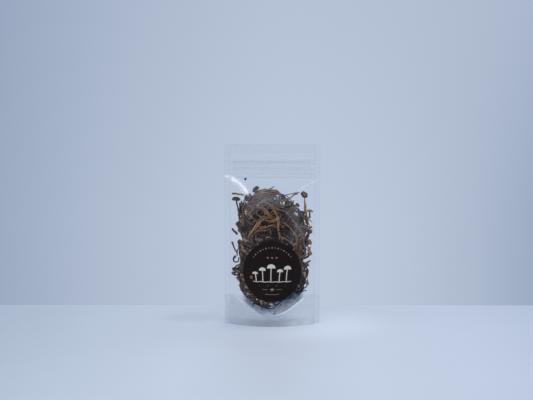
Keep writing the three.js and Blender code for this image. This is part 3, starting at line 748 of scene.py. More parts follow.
FILM_STEP, FILM_LIFT, MOST_RELIEF = 0.9, 0.25, 1.2
FILM_X = spaced([-52.5, -50.5, -46.5, -43.5, 0, 43.5, 46.5, 50.5, 52.5], FILM_STEP)
FILM_Z = spaced(
    [0, 0.4, 1, 3, 10, 42, 160, 186, 186.5, 187, 187.5, 188, 190, 197, 199, 199.6, 200], FILM_STEP
)


def make_film(name, side, material):
    u, z = np.meshgrid(FILM_X, FILM_Z, indexing="ij")
    x = np.clip(u, -edge_x(z), edge_x(z)).ravel()
    z = z.ravel()
    relief = np.clip(film_relief(x, z, side), -FILM_LIFT, MOST_RELIEF)
    depth = inner_depth(x, z) + FILM_LIFT + relief
    points = np.stack([x, side * depth, z], 1)
    faces = grid_faces(len(FILM_X), len(FILM_Z), turned=side > 0)
    node_name = "front_film" if side < 0 else "back_film"
    layers = film_layers(x, z, side)
    make_object(name, points, faces, material, [node_name], attributes=layers)


# The gusset: how far it keeps from the films and its own solid, how milky and how dark it is; the darker
# milk in its floor's middle, under the bunch, is painted shade.
SHEET_ROOM = 0.2
LEG_HAZE, FLOOR_HAZE, SHADED_FLOOR_HAZE, SHADED_FLOOR_DIM = 0.03, 0.02, 0.07, 0.4


def leg_point(x, side, share):
    z = share * round_seal_z(x)
    x = float(np.clip(x, -edge_x(z), edge_x(z)))
    return x, side * (inner_depth(x, z) - GAP - SHEET_ROOM), z


def floor_point(x, across):
    half = inner_depth(x, round_seal_z(x)) - GAP - SHEET_ROOM
    fold = 0.5 * bell(x - 1.5, 0.9) * (1 - across * across)
    return x, across * half, floor_z(x, across) + SHEET_ROOM + fold


def make_gusset(material):
    """The folded bottom film: legs welded inside the films, and the floor between them."""
    legs = np.linspace(0, 1, 14)
    shares = np.linspace(-1, 1, 30)[1:-1]
    points, haze, dim = [], [], []
    for x in FILM_X:
        points += [leg_point(x, -1, share) for share in legs]
        points += [floor_point(x, across) for across in shares]
        points += [leg_point(x, 1, share) for share in legs[::-1]]
        # The floor's middle, under the bunch, is milkier and darker: painted shade.
        middle = float(fade(20, 36, abs(x)))
        leg_haze, leg_dim = [LEG_HAZE] * len(legs), [0.0] * len(legs)
        haze += [*leg_haze, *[FLOOR_HAZE + SHADED_FLOOR_HAZE * middle] * len(shares), *leg_haze]
        dim += [*leg_dim, *[SHADED_FLOOR_DIM * middle] * len(shares), *leg_dim]
    faces = grid_faces(len(FILM_X), 2 * len(legs) + len(shares))
    layers = {"haze": haze, "dim": dim, "gleam": np.zeros(len(haze))}
    replaced = ["bottom_gusset_film"]
    make_object("gusset_sheet", points, faces, material, replaced, attributes=layers)


film_look = film_material("clear_film", FILM_IOR)
make_film("front_sheet", -1, film_look)
make_film("back_sheet", 1, film_look)
make_gusset(film_material("gusset_film", GUSSET_IOR))
zip_look = zip_material()
for name in ("zip_socket_track", "zip_rib_track"):
    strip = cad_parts[name]
    strip.data.materials.clear()
    strip.data.materials.append(zip_look)

# ---------------------------------------------------------------- mushrooms

# How the bunch is laid out, as in the solids: a stem's step, its core, and the roots of its tufts.
STEP = 6.5
CORE_LOW_Z, CORE_HIGH_Z = 27.0, 138.0
CORE_INSET, CORE_SHARE = 8.0, 0.62
ROOT_LAYER, ROOT_SPREAD, ROOT_MARGIN = 0.3, 0.6, 12.0
TUFT_STEP = 0.618
WAVE_RATE, TURN_BACK = 1.3, 0.9
CLEARANCE, SUNK_END = 0.6, 0.75
STEMS_TOP_Z, CAPS_TOP_Z = 154.5, 140.0

# The sheaves of thin stems: how high they lie, from where they are pale, and how many are golden.
SHEAF_LOW_Z, SHEAF_HIGH_Z, PALE_FROM_Z, GOLDEN_SHARE = 26.0, 144.0, 129.0, 0.19
SHEAF_COUNT, SHEAF_STEPS, SHEAF_RADII, SHEAF_LAYERS = (3, 8), (5, 13), (0.36, 0.62), (0.8, 0.95)
SHEAF_ASIDE, SHEAF_AHEAD, SHEAF_FAN, SHEAF_SHADES = (-4, 4), (-8, 8), (-0.2, 0.2), (-0.15, 0.15)

# The bunch's left and right edges at each height.
BUNCH_OUTLINE = [
    (19, -14, -6),
    (25, -22, 4),
    (31, -27, 22),
    (37, -31, 32),
    (47, -35, 35),
    (62, -37, 36),
    (84, -35, 40),
    (108, -35, 39),
    (119, -36, 35),
    (130, -36, 29),
    (141, -31, 24),
    (148, -27, 16),
    (152, -21, 7),
]
OUTLINE_Z, OUTLINE_LEFT, OUTLINE_RIGHT = np.array(BUNCH_OUTLINE, float).T


def bunch_edges(z):
    return float(np.interp(z, OUTLINE_Z, OUTLINE_LEFT)), float(np.interp(z, OUTLINE_Z, OUTLINE_RIGHT))


def inside_bag(points, room):
    """Keeps points inside the bag, with room to spare all round them."""
    points = np.array(points, float)
    x, y, z = points.T
    half = np.maximum(inner_depth(x, np.maximum(z, round_seal_z(x))), 0.1)
    z = np.maximum(z, floor_z(x, np.clip(y / half, -1, 1)) + FILM + room)
    most = np.maximum(inner_depth(x, z) - room, 0)
    return np.stack([x, np.clip(y, -most, most), z], 1)


def placed(x, z, layer, radius):
    room = radius + CLEARANCE
    reach = max(float(inner_depth(x, z)) - room, 0)
    return inside_bag([(x, layer * reach, z)], room)[0]


def outwards(x, z):
    """How far out a place is: 1 on the bunch's outline as seen from the front."""
    if z < OUTLINE_Z[0] or z > OUTLINE_Z[-1]:
        return math.inf
    left, right = bunch_edges(z)
    return abs(2 * x - left - right) / (right - left)


def within(ends, random):
    return ends[0] + (ends[1] - ends[0]) * random()


# How the tufts and their stems vary, and the ends of their tones. The first kind's courses are the
# solids' own, and the rest lie among them.
MAIN = {
    "seed": 20, "tufts": 16, "count": (3, 6), "spreads": (-0.75, 0.75), "steps": (5, 9),
    "radii": (0.85, 1.35), "layers": (0.72, 1), "bends": (-0.16, 0.16), "waves": (0.1, 0.5),
    "capped": 0.6, "caps": (2.4, 4.6), "tones": (0.05, 0.62), "pale": 0.8,
}
# The deep tufts' near-black tones are painted shade inside the bunch.
DEEP = {
    **MAIN, "seed": 31, "tufts": 50, "radii": (0.6, 1.15), "layers": (0.45, 0.85),
    "waves": (0.1, 0.6), "capped": 0.5, "tones": (0.0, 0.2), "pale": 0.5,
}
SHALLOW = {
    **MAIN, "seed": 47, "tufts": 36, "steps": (5, 10), "radii": (0.42, 0.85), "layers": (0.8, 1),
    "capped": 0.3, "caps": (1.8, 3.6), "tones": (0.0, 0.62), "pale": 0.9,
}
SHEAF_SEED, SHEAVES, RIBBON_SEED, BUNCH_SEED = 91, 92, 53, 77
LEADER_TONES, LEADER_PALE = (0.68, 1.0), 0.1


def wandering_stem(random, root, heading, side, kind):
    """One stem of a tuft, which rises to its own layer, wanders, and turns back at the bunch's rim."""
    steps = math.floor(within(kind["steps"], random))
    radius = within(kind["radii"], random)
    layer = side * within(kind["layers"], random)
    bend = within(kind["bends"], random)
    wave = within(kind["waves"], random)
    phase = 2 * math.pi * random()
    cap = within(kind["caps"], random) if random() < kind["capped"] else 0
    x, z = root
    turn = heading
    points = []
    for i in range(steps + 1):
        depth = side * ROOT_LAYER + (layer - side * ROOT_LAYER) * float(smooth(0, 3, i))
        points.append(placed(x, z, depth, radius))
        turn += bend + wave * math.sin(WAVE_RATE * i + phase)
        if outwards(x + 2 * STEP * math.cos(turn), z + 2 * STEP * math.sin(turn)) > 1:
            turn += TURN_BACK
        x += STEP * math.cos(turn)
        z += STEP * math.sin(turn)
    return {"points": points, "radius": radius, "cap": cap}


def tuft_stems(kind):
    """Tufts of stems that grew from one root, strewn over the core, front and back in turn."""
    random = random_from(kind["seed"])
    stems = []
    low, high = CORE_LOW_Z + ROOT_MARGIN, CORE_HIGH_Z - ROOT_MARGIN
    for tuft in range(kind["tufts"]):
        z = low + (high - low) * ((tuft * TUFT_STEP) % 1)
        left, right = bunch_edges(z)
        aside = ROOT_SPREAD * within((-1, 1), random)
        root = ((left + right + aside * (right - left)) / 2, z)
        heading = 2 * math.pi * random()
        count = math.floor(within(kind["count"], random))
        for _ in range(count):
            spread = within(kind["spreads"], random)
            stems.append(wandering_stem(random, root, heading + spread, 1 if tuft % 2 else -1, kind))
    return stems


# Radius of the stem, radius of the cap (0 where it has broken off), then x, z and layer at each bend.
LEADING_STEMS = [
    [1.2, 0, [-27, 130, -0.2], [-20, 132, -0.9], [-9, 130, -1], [-3, 122, -1], [3, 114, -0.3]],
    [1.2, 0, [-2, 138, -0.2], [1, 130, -0.9], [6, 119, -1], [7, 107, -1], [6, 98, -0.3]],
    [1.3, 0, [-13, 118, -0.3], [-12, 109, -1], [-3, 111, -1], [6, 110, -0.9], [9, 99, -0.3]],
    [1.3, 0, [-2, 121, -0.3], [-12, 118, -1], [-18, 110, -1], [-24, 101, -0.9], [-29, 92, -0.3]],
    [1.2, 0, [-24, 129, -0.1], [-19, 138, -0.7], [-12, 143.5, -0.7], [-3, 146, -0.6], [3, 149, -0.5]],
    [1.6, 3.8, [-18, 126, -0.1], [-21, 136, -0.4], [-20, 143, -0.5], [-17, 148.5, -0.5]],
    [1.0, 0, [2, 129, -0.3], [9, 138.5, -0.8], [19, 141, -0.8], [24, 145, -0.7], [28, 146, -0.5]],
    [1.2, 0, [-6, 128, -0.1], [-3, 138, -0.6], [2, 145, -0.6], [9, 146.5, -0.5]],
    [1.2, 2.6, [10, 120, -0.3], [16, 128, -0.8], [22, 131.5, -0.8], [28, 133.5, -0.6]],
    [1.0, 0, [-26, 118, 0], [-34, 117.5, -0.3], [-40.5, 116.5, -0.3]],
    [1.3, 3.4, [24, 92, 0.1], [31, 97, -0.6], [36, 106, -0.4], [42, 110, 0]],
    [1.2, 0, [27, 88, -0.2], [35, 96, -0.5], [40, 101, -0.2], [43.5, 103, 0]],
    [1.2, 3.4, [24, 84, 0], [32, 86, -0.5], [38, 89, -0.2], [41, 92, 0]],
    [1.2, 3.4, [24, 70, 0], [32, 74, -0.5], [38, 78, 0], [41.5, 80, 0]],
    [1.3, 0, [24, 60, 0], [33, 64, -0.5], [38, 68, 0], [42.5, 71, 0]],
    [1.3, 0, [22, 44, 0], [31, 43, -0.6], [35, 50, -0.2], [37, 61, 0]],
    [1.1, 0, [18, 38, 0], [26, 40, -0.6], [32, 38, -0.2], [38, 37, 0]],
    [1.4, 3.5, [-24, 84, 0], [-30, 92, -0.6], [-33, 103, -0.6], [-37, 113, -0.3]],
    [1.2, 0, [-24, 48, 0], [-31, 48, -0.6], [-37, 49, -0.3], [-39, 53, 0]],
    [1.3, 3.3, [-18, 38, 0], [-25, 36, -0.6], [-29, 39, -0.3], [-32, 44, 0]],
    [1.2, 0, [0, 36, -0.2], [-8, 30, -0.8], [-15, 26, -0.9], [-21, 28, -0.8]],
    [1.1, 2.8, [6, 38, -0.2], [1, 30, -0.8], [-5, 25, -0.9], [-11, 23, -0.9]],
]

# Finer stems that lie on the bunch's face: radius of the stem and the cap, tone and pale share,
# then x, z and layer at each bend.
FACE_STEMS = [
    [0.7, 0, 0.85, 0.1, [-29.7, 137, -0.5], [-26.5, 127, -0.95], [-23, 121, -0.95], [-16.5, 117, -0.7]],
    [0.9, 0, 0.95, 0, [-9, 117, -0.8], [0, 116.5, -1], [6.5, 120, -0.9], [12, 121, -0.6]],
    [
        1.1, 0, 0.6, 0,
        [-31, 123, -0.9], [-31.5, 114, -0.9], [-32.5, 106, -0.8], [-30.5, 96, -0.9], [-31.5, 87, -0.8],
    ],
    [0.8, 0, 0.35, 0.1, [-35.5, 135, 0.95], [-35, 127, 1], [-36, 119, 1], [-35, 110, 0.9]],
    [0.8, 0, 0.45, 0.1, [-33.5, 137, 0.8], [-33.5, 129, 0.9], [-34, 121, 0.9], [-33, 112, 0.8]],
    [0.7, 0, 0.6, 0, [-37.5, 122, 1], [-35.5, 116, 1], [-36.5, 108, 1]],
    [0.7, 0, 0.3, 0.1, [-32, 136, -0.9], [-32, 129, -0.95], [-31, 122, -0.9]],
    [0.7, 0, 0.4, 0.1, [-31, 138, 0.6], [-31, 131, 0.7], [-32, 124, 0.7]],
    [0.8, 0, 0.3, 0.2, [-37, 128, 1], [-34, 124, 1], [-31, 122, 0.9]],
    [
        0.9, 0, 0.45, 0.1,
        [-29, 134, -0.7], [-31, 128, -0.9], [-30, 119, -0.9], [-33, 109, -0.8], [-33, 99, -0.7],
    ],
    [0.9, 0, 0.85, 0, [-28, 131, -0.8], [-31, 124, -0.95], [-32.5, 114, -0.95], [-32, 104, -0.9]],
    [0.6, 0, 0.9, 0, [35, 126, 1], [38, 120, 1], [41, 116, 1], [44, 113.5, 1]],
    [0.6, 0, 0.95, 0, [36, 121, -1], [38.5, 118, -1], [40, 112, -1], [43, 108, -0.8]],
    [0.6, 0, 0.6, 0, [35, 121, 1], [39, 115, 1], [38, 107, 1]],
    [0.55, 0, 0.35, 0.3, [37, 130, 1], [38.5, 124, 1], [39.5, 117, 1], [41, 110, 1]],
    [0.6, 0, 0.3, 0.3, [33, 120, -0.9], [36.5, 117, -1], [39, 113.5, -1], [38, 108, -1]],
    [0.8, 0, 0.9, 0, [33, 104, -0.6], [37, 107, -0.7], [41, 107, -0.6], [44, 109, -0.3]],
    [0.7, 0, 1.0, 0, [32, 112, -0.7], [36, 110.5, -0.8], [40, 106, -0.6], [44.5, 105, -0.2]],
    [0.8, 0, 0.9, 0, [35, 100, -0.6], [38.5, 95, -0.5], [42.5, 94, -0.2]],
    [0.7, 0, 0.9, 0, [33, 88, -0.7], [38, 84, -0.5], [42.5, 86, -0.2]],
    [0.7, 0, 0.8, 0, [-37, 114, -0.2], [-33, 105, -0.8], [-29.5, 96, -0.95], [-27, 86, -0.8]],
    [
        0.6, 0, 0.75, 0.5,
        [0.5, 140, -0.8], [9, 138.5, -1], [15.5, 138.5, -0.9], [19.5, 141.5, -0.8], [27, 147, -0.4],
    ],
    [0.5, 0, 0.5, 0.4, [10, 142.5, -0.8], [17, 145, -0.8], [24, 146.5, -0.6], [30, 147, -0.3]],
    [0.6, 0, 0.3, 0.2, [13, 124, -0.7], [15.5, 128.5, -0.9], [19.5, 134, -0.9], [24, 138.5, -0.6]],
    [0.6, 0, 0.95, 0.1, [8.5, 117, -0.9], [15.5, 113, -1], [21, 107, -1], [25, 101, -1], [26.5, 95, -0.8]],
    [0.5, 0, 0.9, 0.3, [28.5, 110, -0.8], [25, 104, -1], [26.5, 99, -1], [27, 91, -0.8]],
    [0.8, 0, 1.0, 0, [19, 119, -0.7], [22.5, 116, -0.95], [28, 112, -0.9]],
    [0.5, 0, 0.9, 0.3, [14, 126, -0.7], [17.5, 123, -1], [23, 116, -0.9]],
    [0.7, 0, 0.9, 0, [8, 101, -0.7], [10, 99.5, -1], [15.5, 97, -1], [21.5, 92, -1], [27, 88, -0.7]],
    [1.0, 0, 0.8, 0.1, [-18, 104, -0.6], [-17.5, 99.5, -0.95], [-16, 91, -0.95], [-15, 86, -0.8]],
    [0.6, 0, 1.0, 0, [-9, 97, -0.8], [-6, 99, -1], [-3, 99.5, -1], [0, 96, -0.8]],
    [0.7, 0, 0.8, 0.1, [-3, 110, -0.8], [-2.5, 107, -1], [-0.5, 101, -0.9]],
    [
        0.8, 0, 0.55, 0.9,
        [-27, 132, -0.5], [-20, 139, -0.9], [-9, 143, -1], [2, 142.5, -1], [12, 138.5, -0.8],
    ],
    [0.7, 0, 0.75, 0.9, [-22, 139, -0.5], [-17, 145.5, -0.9], [-8, 150, -0.9], [-3, 150.5, -0.6]],
    [0.8, 0, 0.45, 1.0, [-29, 129, -0.5], [-24, 135, -0.9], [-14, 139, -1], [-3, 140, -1], [6, 136, -0.8]],
    [0.6, 0, 0.9, 0.8, [-20, 136, -0.7], [-10, 146.5, -1], [0, 148, -1], [8, 147, -0.7]],
    [0.6, 0, 0.7, 0.9, [-14, 134, -0.8], [-4, 145, -1], [5, 146, -1], [9, 143, -0.7]],
    [0.6, 0, 0.6, 0.8, [-24, 131, -0.7], [-16, 135, -1], [-7, 136.5, -1], [1, 134, -0.9]],
    [0.8, 0, 0.62, 0.1, [-30, 41, -0.5], [-26, 37, -0.9], [-22, 34, -1], [-16, 32, -0.9]],
    [0.7, 0, 0.55, 0.1, [-28, 34, -0.6], [-23, 31, -1], [-18, 27, -1], [-11, 27, -0.9]],
    [1.0, 0, 0.3, 0.2, [-36, 62, -0.4], [-36.5, 54, -0.7], [-34, 45, -0.8], [-30, 38, -0.9]],
    [0.9, 2.4, 0.2, 0.4, [-35, 50, 0.3], [-34, 44, 0.2], [-31, 40, 0]],
    [0.8, 0, 0.5, 0.1, [-37, 58, -0.2], [-35.5, 49, -0.5], [-32.5, 42, -0.7], [-28, 36, -0.8]],
    [0.9, 0, 0.15, 0.2, [-37, 52, 0.3], [-34, 43, 0.4], [-29, 36, 0.4]],
    [0.9, 0, 0.3, 0.2, [-36, 44, 0.1], [-32.5, 36, 0.1], [-28, 29.5, 0.1], [-22.5, 25.5, 0.1]],
    [1.0, 0, 0.1, 0.3, [-34, 38.5, 0.5], [-30, 31.5, 0.5], [-25.5, 27.5, 0.5], [-19, 22.5, 0.5]],
    [1.4, 0, 0.1, 0.2, [-9, 25, 0.7], [-4, 24.6, 0.7], [1, 25.5, 0.7]],
    [1.4, 0, 0.2, 0.2, [-8, 28.2, 0.75], [-2, 27.5, 0.75], [3.5, 28.5, 0.75]],
    [1.1, 0, 0.15, 0.2, [-16, 29.5, -0.2], [-10, 26, -0.3], [-3, 24.5, -0.3], [0, 24.6, -0.3]],
    [1.2, 0, 0.1, 0.2, [-13, 27, -0.4], [-7, 22.5, -0.5], [-1, 21.5, -0.5]],
    [1.0, 0, 0.45, 0.1, [-19, 31, 0], [-12, 28.5, -0.1], [-5, 26.5, 0], [-1, 27.2, 0]],
    [1.1, 0, 0.2, 0.2, [-24, 31, -0.6], [-19, 26.5, -0.7], [-13, 23, -0.8], [-8, 21, -0.7]],
    [0.8, 0, 0.15, 0.3, [-26, 30, -0.3], [-18, 25, -0.4], [-9, 20.5, -0.5], [-1, 18, -0.4]],
    [0.9, 0, 0.2, 0.3, [-20, 29, -0.6], [-12, 23, -0.7], [-5, 19.5, -0.7], [3, 19, -0.6]],
    [0.8, 0, 0.2, 0.2, [-25, 31, -0.8], [-19, 27, -1], [-12, 23, -1], [-4, 24, -0.8]],
    [0.7, 0, 0.45, 0.2, [-21, 36, -0.9], [-14, 30, -1], [-8, 26, -1], [-1, 28, -0.8]],
    [0.9, 2.6, 0.3, 0.2, [-14, 33, -0.6], [-11, 28, -0.9], [-9, 24, -0.9]],
    [0.9, 2.4, 0.5, 0.2, [-22, 40, -0.6], [-21, 33, -0.9], [-20, 29, -0.9]],
    [0.45, 0, 0.4, 0.3, [-8, 147, -0.8], [-4, 150.5, -0.6], [-1, 151.5, -0.4], [2.5, 154, -0.2]],
]

# Bare caps pressed against the front film: radius, x, z, the way each faces, tone and pale share.
PRESSED_CAPS = [
    (4.6, -18.2, 151.0, (-0.62, -0.45, 0.62), 0.16, 0.9),
    (5.0, -26.8, 142.0, (-0.60, -0.62, 0.50), 0.12, 0.8),
    (3.8, 24.6, 119.0, (0.50, -0.80, 0.20), 0.0, 0.2),
    (3.9, -35.5, 91.5, (-0.50, -0.80, -0.20), 0.0, 0.5),
]

# Pale ribbons over the bunch's top: the top's outline, then how many there are and how deep they lie.
TOP_COURSE = [
    (-31, 129), (-28, 134), (-24.5, 139), (-20, 143.5), (-15.5, 147), (-11, 149.3),
    (-4.5, 151), (0, 151), (4.3, 149.8), (7.6, 147), (9.5, 143), (11, 139),
]
RIBBONS, RIBBON_DEPTH = 34, 15.0

# The highest that other stems reach at each x.
SHOULDERS = [
    (-40, 116), (-31, 131), (-24.5, 140), (-15.5, 147), (-4.5, 151),
    (4.3, 150), (9, 146), (18, 141), (27, 136), (38, 122),
]

# Bare places at the bunch's right edge, where no finer stem lies: x, z and half width.
BARE_PLACES = [(38, 79, 4.5), (38.5, 71, 5), (38.5, 64, 4)]

# Hollows in the bunch's front, where the finer stems lie in shade: x, z and half width.
HOLLOWS = [(-9, 98, 7), (-29, 111, 5), (15, 101, 4)]

# Mushrooms and scraps that lie apart from the bunch, each in a node of its own: the same numbers
# as for the leading stems.
LOOSE_PIECES = {
    "loose_mushroom_right": [1.1, 4.2, [37.7, 112, 0], [37, 121, 0], [36.2, 131, 0], [35.2, 144.5, 0]],
    "loose_mushroom_left": [
        1.2, 4.6,
        [-36, 121.5, -0.3], [-37, 127, -0.3], [-38.5, 133.5, -0.2], [-39.6, 139.8, -0.2],
    ],
    "loose_stem_upper_left": [0.8, 0, [-44, 145.5, 0], [-38, 145.2, 0.5], [-31, 143.6, 0.6]],
    "loose_cap_right": [0.8, 2.6, [41, 118.5, 0], [41.2, 122.5, 0], [41.4, 126.5, 0]],
    "loose_stub_left": [1.2, 0, [-44, 107, 0], [-41, 103.5, 0], [-38.5, 100, 0]],
    "loose_stem_left": [0.8, 0, [-44, 92, 0], [-42.3, 86, 0], [-39, 80, 0]],
    "loose_curl_left": [
        0.9, 0,
        [-40, 76, 0], [-42.5, 74, 0], [-42.5, 70.5, 0],
        [-39.5, 69, 0], [-37, 71, 0], [-37.2, 74.3, 0],
    ],
    "crumb": [0.9, 0, [-30.2, 160.8, 0], [-29.1, 162, 0], [-28.6, 163.2, 0]],
}

# Thin stems, most of them golden, that cross the dark gaps of the face, set out in the same way.
THIN_STEMS = [
    [0.75, 0, 1, 0.3, [-27.4, 132.4, -0.9], [-15.2, 132.4, -1], [-9.1, 127.7, -1], [-3.1, 121.7, -0.9]],
    [0.6, 0, 0.95, 0.1, [-26.2, 130.1, -0.9], [-24, 124, -0.95], [-21.3, 119.2, -0.9]],
    [0.65, 0, 0.85, 0.1, [-20.1, 129, -0.8], [-14, 122.8, -0.9], [-8, 121, -0.9], [-1.9, 120.4, -0.8]],
    [0.65, 0, 0.88, 0.1, [-11.5, 126.4, -0.8], [-4.3, 122.8, -0.8], [4.3, 119.2, -0.8]],
    [0.6, 0, 0.75, 0.1, [-14, 131.2, -0.8], [-4.3, 126.4, -0.85], [-0.6, 121.7, -0.8]],
    [0.65, 0, 0.85, 0.1, [10.4, 125.2, -0.8], [17.7, 119.2, -0.85], [27.4, 112.1, -0.8]],
    [0.65, 0, 0.88, 0.1, [7.9, 116.9, -0.8], [17.7, 110.9, -0.85], [25, 103.7, -0.8]],
    [0.6, 0, 0.82, 0.1, [10.4, 108.5, -0.8], [17.7, 106.2, -0.8], [22.6, 97.8, -0.8]],
    [0.65, 0, 0.9, 0.4, [27.4, 109.7, -0.8], [25, 105, -0.85], [22.6, 101.3, -0.8]],
    [0.6, 0, 1, 0.1, [-3.1, 108.5, -0.9], [-0.6, 102.5, -0.9]],
    [0.7, 0, 1, 0.1, [5.5, 109.7, -0.9], [7.9, 102.5, -0.95], [7.9, 96.6, -0.9]],
    [0.65, 0, 0.95, 0.1, [9.1, 97.8, -0.85], [16, 96, -0.9], [22.6, 92.8, -0.85]],
    [0.7, 0, 1, 0.1, [-20.1, 108.5, -0.9], [-21.8, 105, -0.95], [-22.5, 101.3, -0.9]],
    [
        0.8, 0, 0.85, 0.1,
        [-28.6, 135.9, -0.6], [-27.4, 122.8, -0.8], [-33.5, 114.4, -0.7], [-31.1, 97.8, -0.7],
    ],
    [
        0.75, 0, 0.9, 0.1,
        [-32.3, 125.2, -0.4], [-34.8, 114.4, -0.4], [-32.3, 106.2, -0.6], [-31.1, 94.1, -0.7],
    ],
    [0.7, 0, 0.35, 0.2, [22.6, 137.1, -0.5], [18.9, 131.2, -0.7], [12.8, 125.2, -0.8]],
    [0.6, 0, 0.9, 0.1, [-24, 126, -0.85], [-17, 124, -0.9], [-11, 119.5, -0.95]],
    [0.55, 0, 0.8, 0.1, [-17, 130, -0.85], [-12, 128, -0.9], [-7, 131, -0.85]],
    [0.55, 0, 0.9, 0.1, [2.5, 126, -0.85], [7, 121, -0.9], [8, 114.5, -0.9]],
    [0.6, 0, 0.85, 0.1, [12, 119.5, -0.85], [15.5, 113, -0.9], [21, 108, -0.85]],
    [0.55, 0, 0.8, 0.1, [12, 104, -0.85], [16, 99.5, -0.9], [21, 98.5, -0.85]],
    [0.55, 0, 0.75, 0.1, [-17, 106, -0.85], [-13, 101.5, -0.9], [-7, 100.5, -0.85]],
    [0.6, 0, 0.85, 0.2, [23, 124.5, -0.7], [27.5, 119, -0.8], [29, 112, -0.8]],
    [0.6, 0, 0.85, 0.1, [-33, 121, -0.4], [-28, 117, -0.8], [-24, 110.5, -0.85]],
]


def coursed_stem(given):
    radius, cap, *course = given
    points = [placed(x, z, layer, radius) for x, z, layer in course]
    return {"points": points, "radius": radius, "cap": cap}


def face_stems(table):
    stems = []
    for radius, cap, tone, pale, *course in table:
        stems.append({**coursed_stem([radius, cap, *course]), "tone": tone, "pale": pale})
    return stems


def sheaf_tones(random, z):
    """Tone and pale share of a sheaf: pale near the top, and elsewhere dark with some golden ones."""
    draw, shade, pale = random(), random(), random()
    if z > PALE_FROM_Z:
        return 0.35 + 0.5 * shade, 0.5 + 0.5 * pale
    if draw < GOLDEN_SHARE:
        return 0.75 + 0.25 * shade, 0.15 * pale
    return 0.34 * shade ** 1.6, 0.6 * pale ** 2


def sheaf_stems():
    """Thin stems that lie side by side as they grew, in sheaves all over the bunch."""
    random = random_from(SHEAF_SEED)
    stems = []
    for sheaf in range(SHEAVES):
        side = 1 if sheaf % 5 < 2 else -1
        z = SHEAF_LOW_Z + (SHEAF_HIGH_Z - SHEAF_LOW_Z) * ((sheaf * TUFT_STEP) % 1)
        x = within(bunch_edges(z), random)
        turn = within((0, math.pi), random)
        bend, wave = within((-0.2, 0.2), random), within((0.2, 0.7), random)
        phase = 2 * math.pi * random()
        tone, pale = sheaf_tones(random, z)
        for _ in range(math.floor(within(SHEAF_COUNT, random))):
            aside, ahead = within(SHEAF_ASIDE, random), within(SHEAF_AHEAD, random)
            start_x = x - aside * math.sin(turn) + ahead * math.cos(turn)
            start_z = z + aside * math.cos(turn) + ahead * math.sin(turn)
            heading = turn + within(SHEAF_FAN, random)
            stem = sheaf_stem(random, (start_x, start_z), heading, bend, wave, phase, side)
            stems.append({**stem, "tone": tone + within(SHEAF_SHADES, random), "pale": pale})
    return stems


def sheaf_stem(random, start, turn, bend, wave, phase, side):
    """One of a sheaf's stems, which ends where it would leave the bunch."""
    radius, layer = within(SHEAF_RADII, random), side * within(SHEAF_LAYERS, random)
    steps = math.floor(within(SHEAF_STEPS, random))
    (x, z), points = start, []
    for i in range(steps):
        if points and outwards(x, z) > 1:
            break
        sunk = layer * (SUNK_END if i == 0 else 1)
        points.append(placed(x, z, sunk, radius))
        turn += bend + wave * math.sin(WAVE_RATE * i + phase)
        x += STEP * math.cos(turn)
        z += STEP * math.sin(turn)
    return {"points": points, "radius": radius, "cap": 0}


def ribbon_stems():
    """Pale flattened stems that sweep side by side over the bunch's top."""
    random = random_from(RIBBON_SEED)
    stems = []
    outline = curve_through([(x, 0, z) for x, z in TOP_COURSE], 2.0)
    for k in range(RIBBONS):
        down = RIBBON_DEPTH * k / RIBBONS
        first = within((0, 0.45), random)
        last = min(1, first + within((0.35, 0.6), random))
        slope = within((-1.5, 2.5), random)
        radius, layer = within((0.5, 1.05), random), -within((0.7, 1.0), random)
        points = []
        for share in np.linspace(first, last, 6):
            x, _, z = outline[int(share * (len(outline) - 1))]
            sunk = layer * (SUNK_END if share in (first, last) else 1)
            points.append(placed(x + 0.35 * down, z - down - slope * (share - first), sunk, radius))
        stem = {"points": points, "radius": radius, "cap": 0}
        stems.append({**stem, "tone": within((0.15, 1.1), random), "pale": within((0.7, 1), random)})
    return stems


def curve_through(points, spacing):
    """A smooth (Catmull-Rom) curve through the points, with points of its own about a spacing apart."""
    p = np.array(points, float)
    p = np.vstack([2 * p[0] - p[1], p, 2 * p[-1] - p[-2]])
    out = []
    for i in range(1, len(p) - 2):
        count = max(2, int(np.linalg.norm(p[i + 1] - p[i]) / spacing))
        t = np.arange(count)[:, None] / count
        out.append(0.5 * (
            2 * p[i]
            + (p[i + 1] - p[i - 1]) * t
            + (2 * p[i - 1] - 5 * p[i] + 4 * p[i + 1] - p[i + 2]) * t ** 2
            + (3 * p[i] - p[i - 1] - 3 * p[i + 1] + p[i + 2]) * t ** 3
        ))
    return np.vstack([*out, p[-2][None]])


class Heap:
    """Gathers many small shapes into one mesh, with a tone, a pale share and a groove at each point."""

    def __init__(self):
        self.points, self.faces, self.tone, self.pale, self.groove = [], [], [], [], []
        self.count = 0

    def add(self, points, faces, tone, pale, groove):
        self.faces += [[i + self.count for i in face] for face in faces]
        self.points.append(points)
        self.tone.append(np.broadcast_to(tone, len(points)))
        self.pale.append(np.broadcast_to(pale, len(points)))
        self.groove.append(groove)
        self.count += len(points)

    def make(self, name, material, replaced):
        layers = {"tone": self.tone, "pale": self.pale, "groove": self.groove}
        layers = {key: np.concatenate(values) for key, values in layers.items()}
        points = np.vstack(self.points)
        make_object(name, points, self.faces, material, [replaced], attributes=layers)


def tube_faces(rings, sides):
    faces = []
    for i in range(rings - 1):
        for k in range(sides):
            a, b = i * sides + k, i * sides + (k + 1) % sides
            faces.append([a, b, b + sides, a + sides])
    faces.append(list(range(sides))[::-1])
    faces.append([(rings - 1) * sides + k for k in range(sides)])
    return faces


# How finely stems are made, and how far a skin keeps from the bag.
STEM_SPACING, STEM_SIDES, FINE_SIDES, FINEST_SIDES, FINEST_RADIUS = 1.3, 8, 6, 5, 0.8
SKIN_ROOM = 0.15


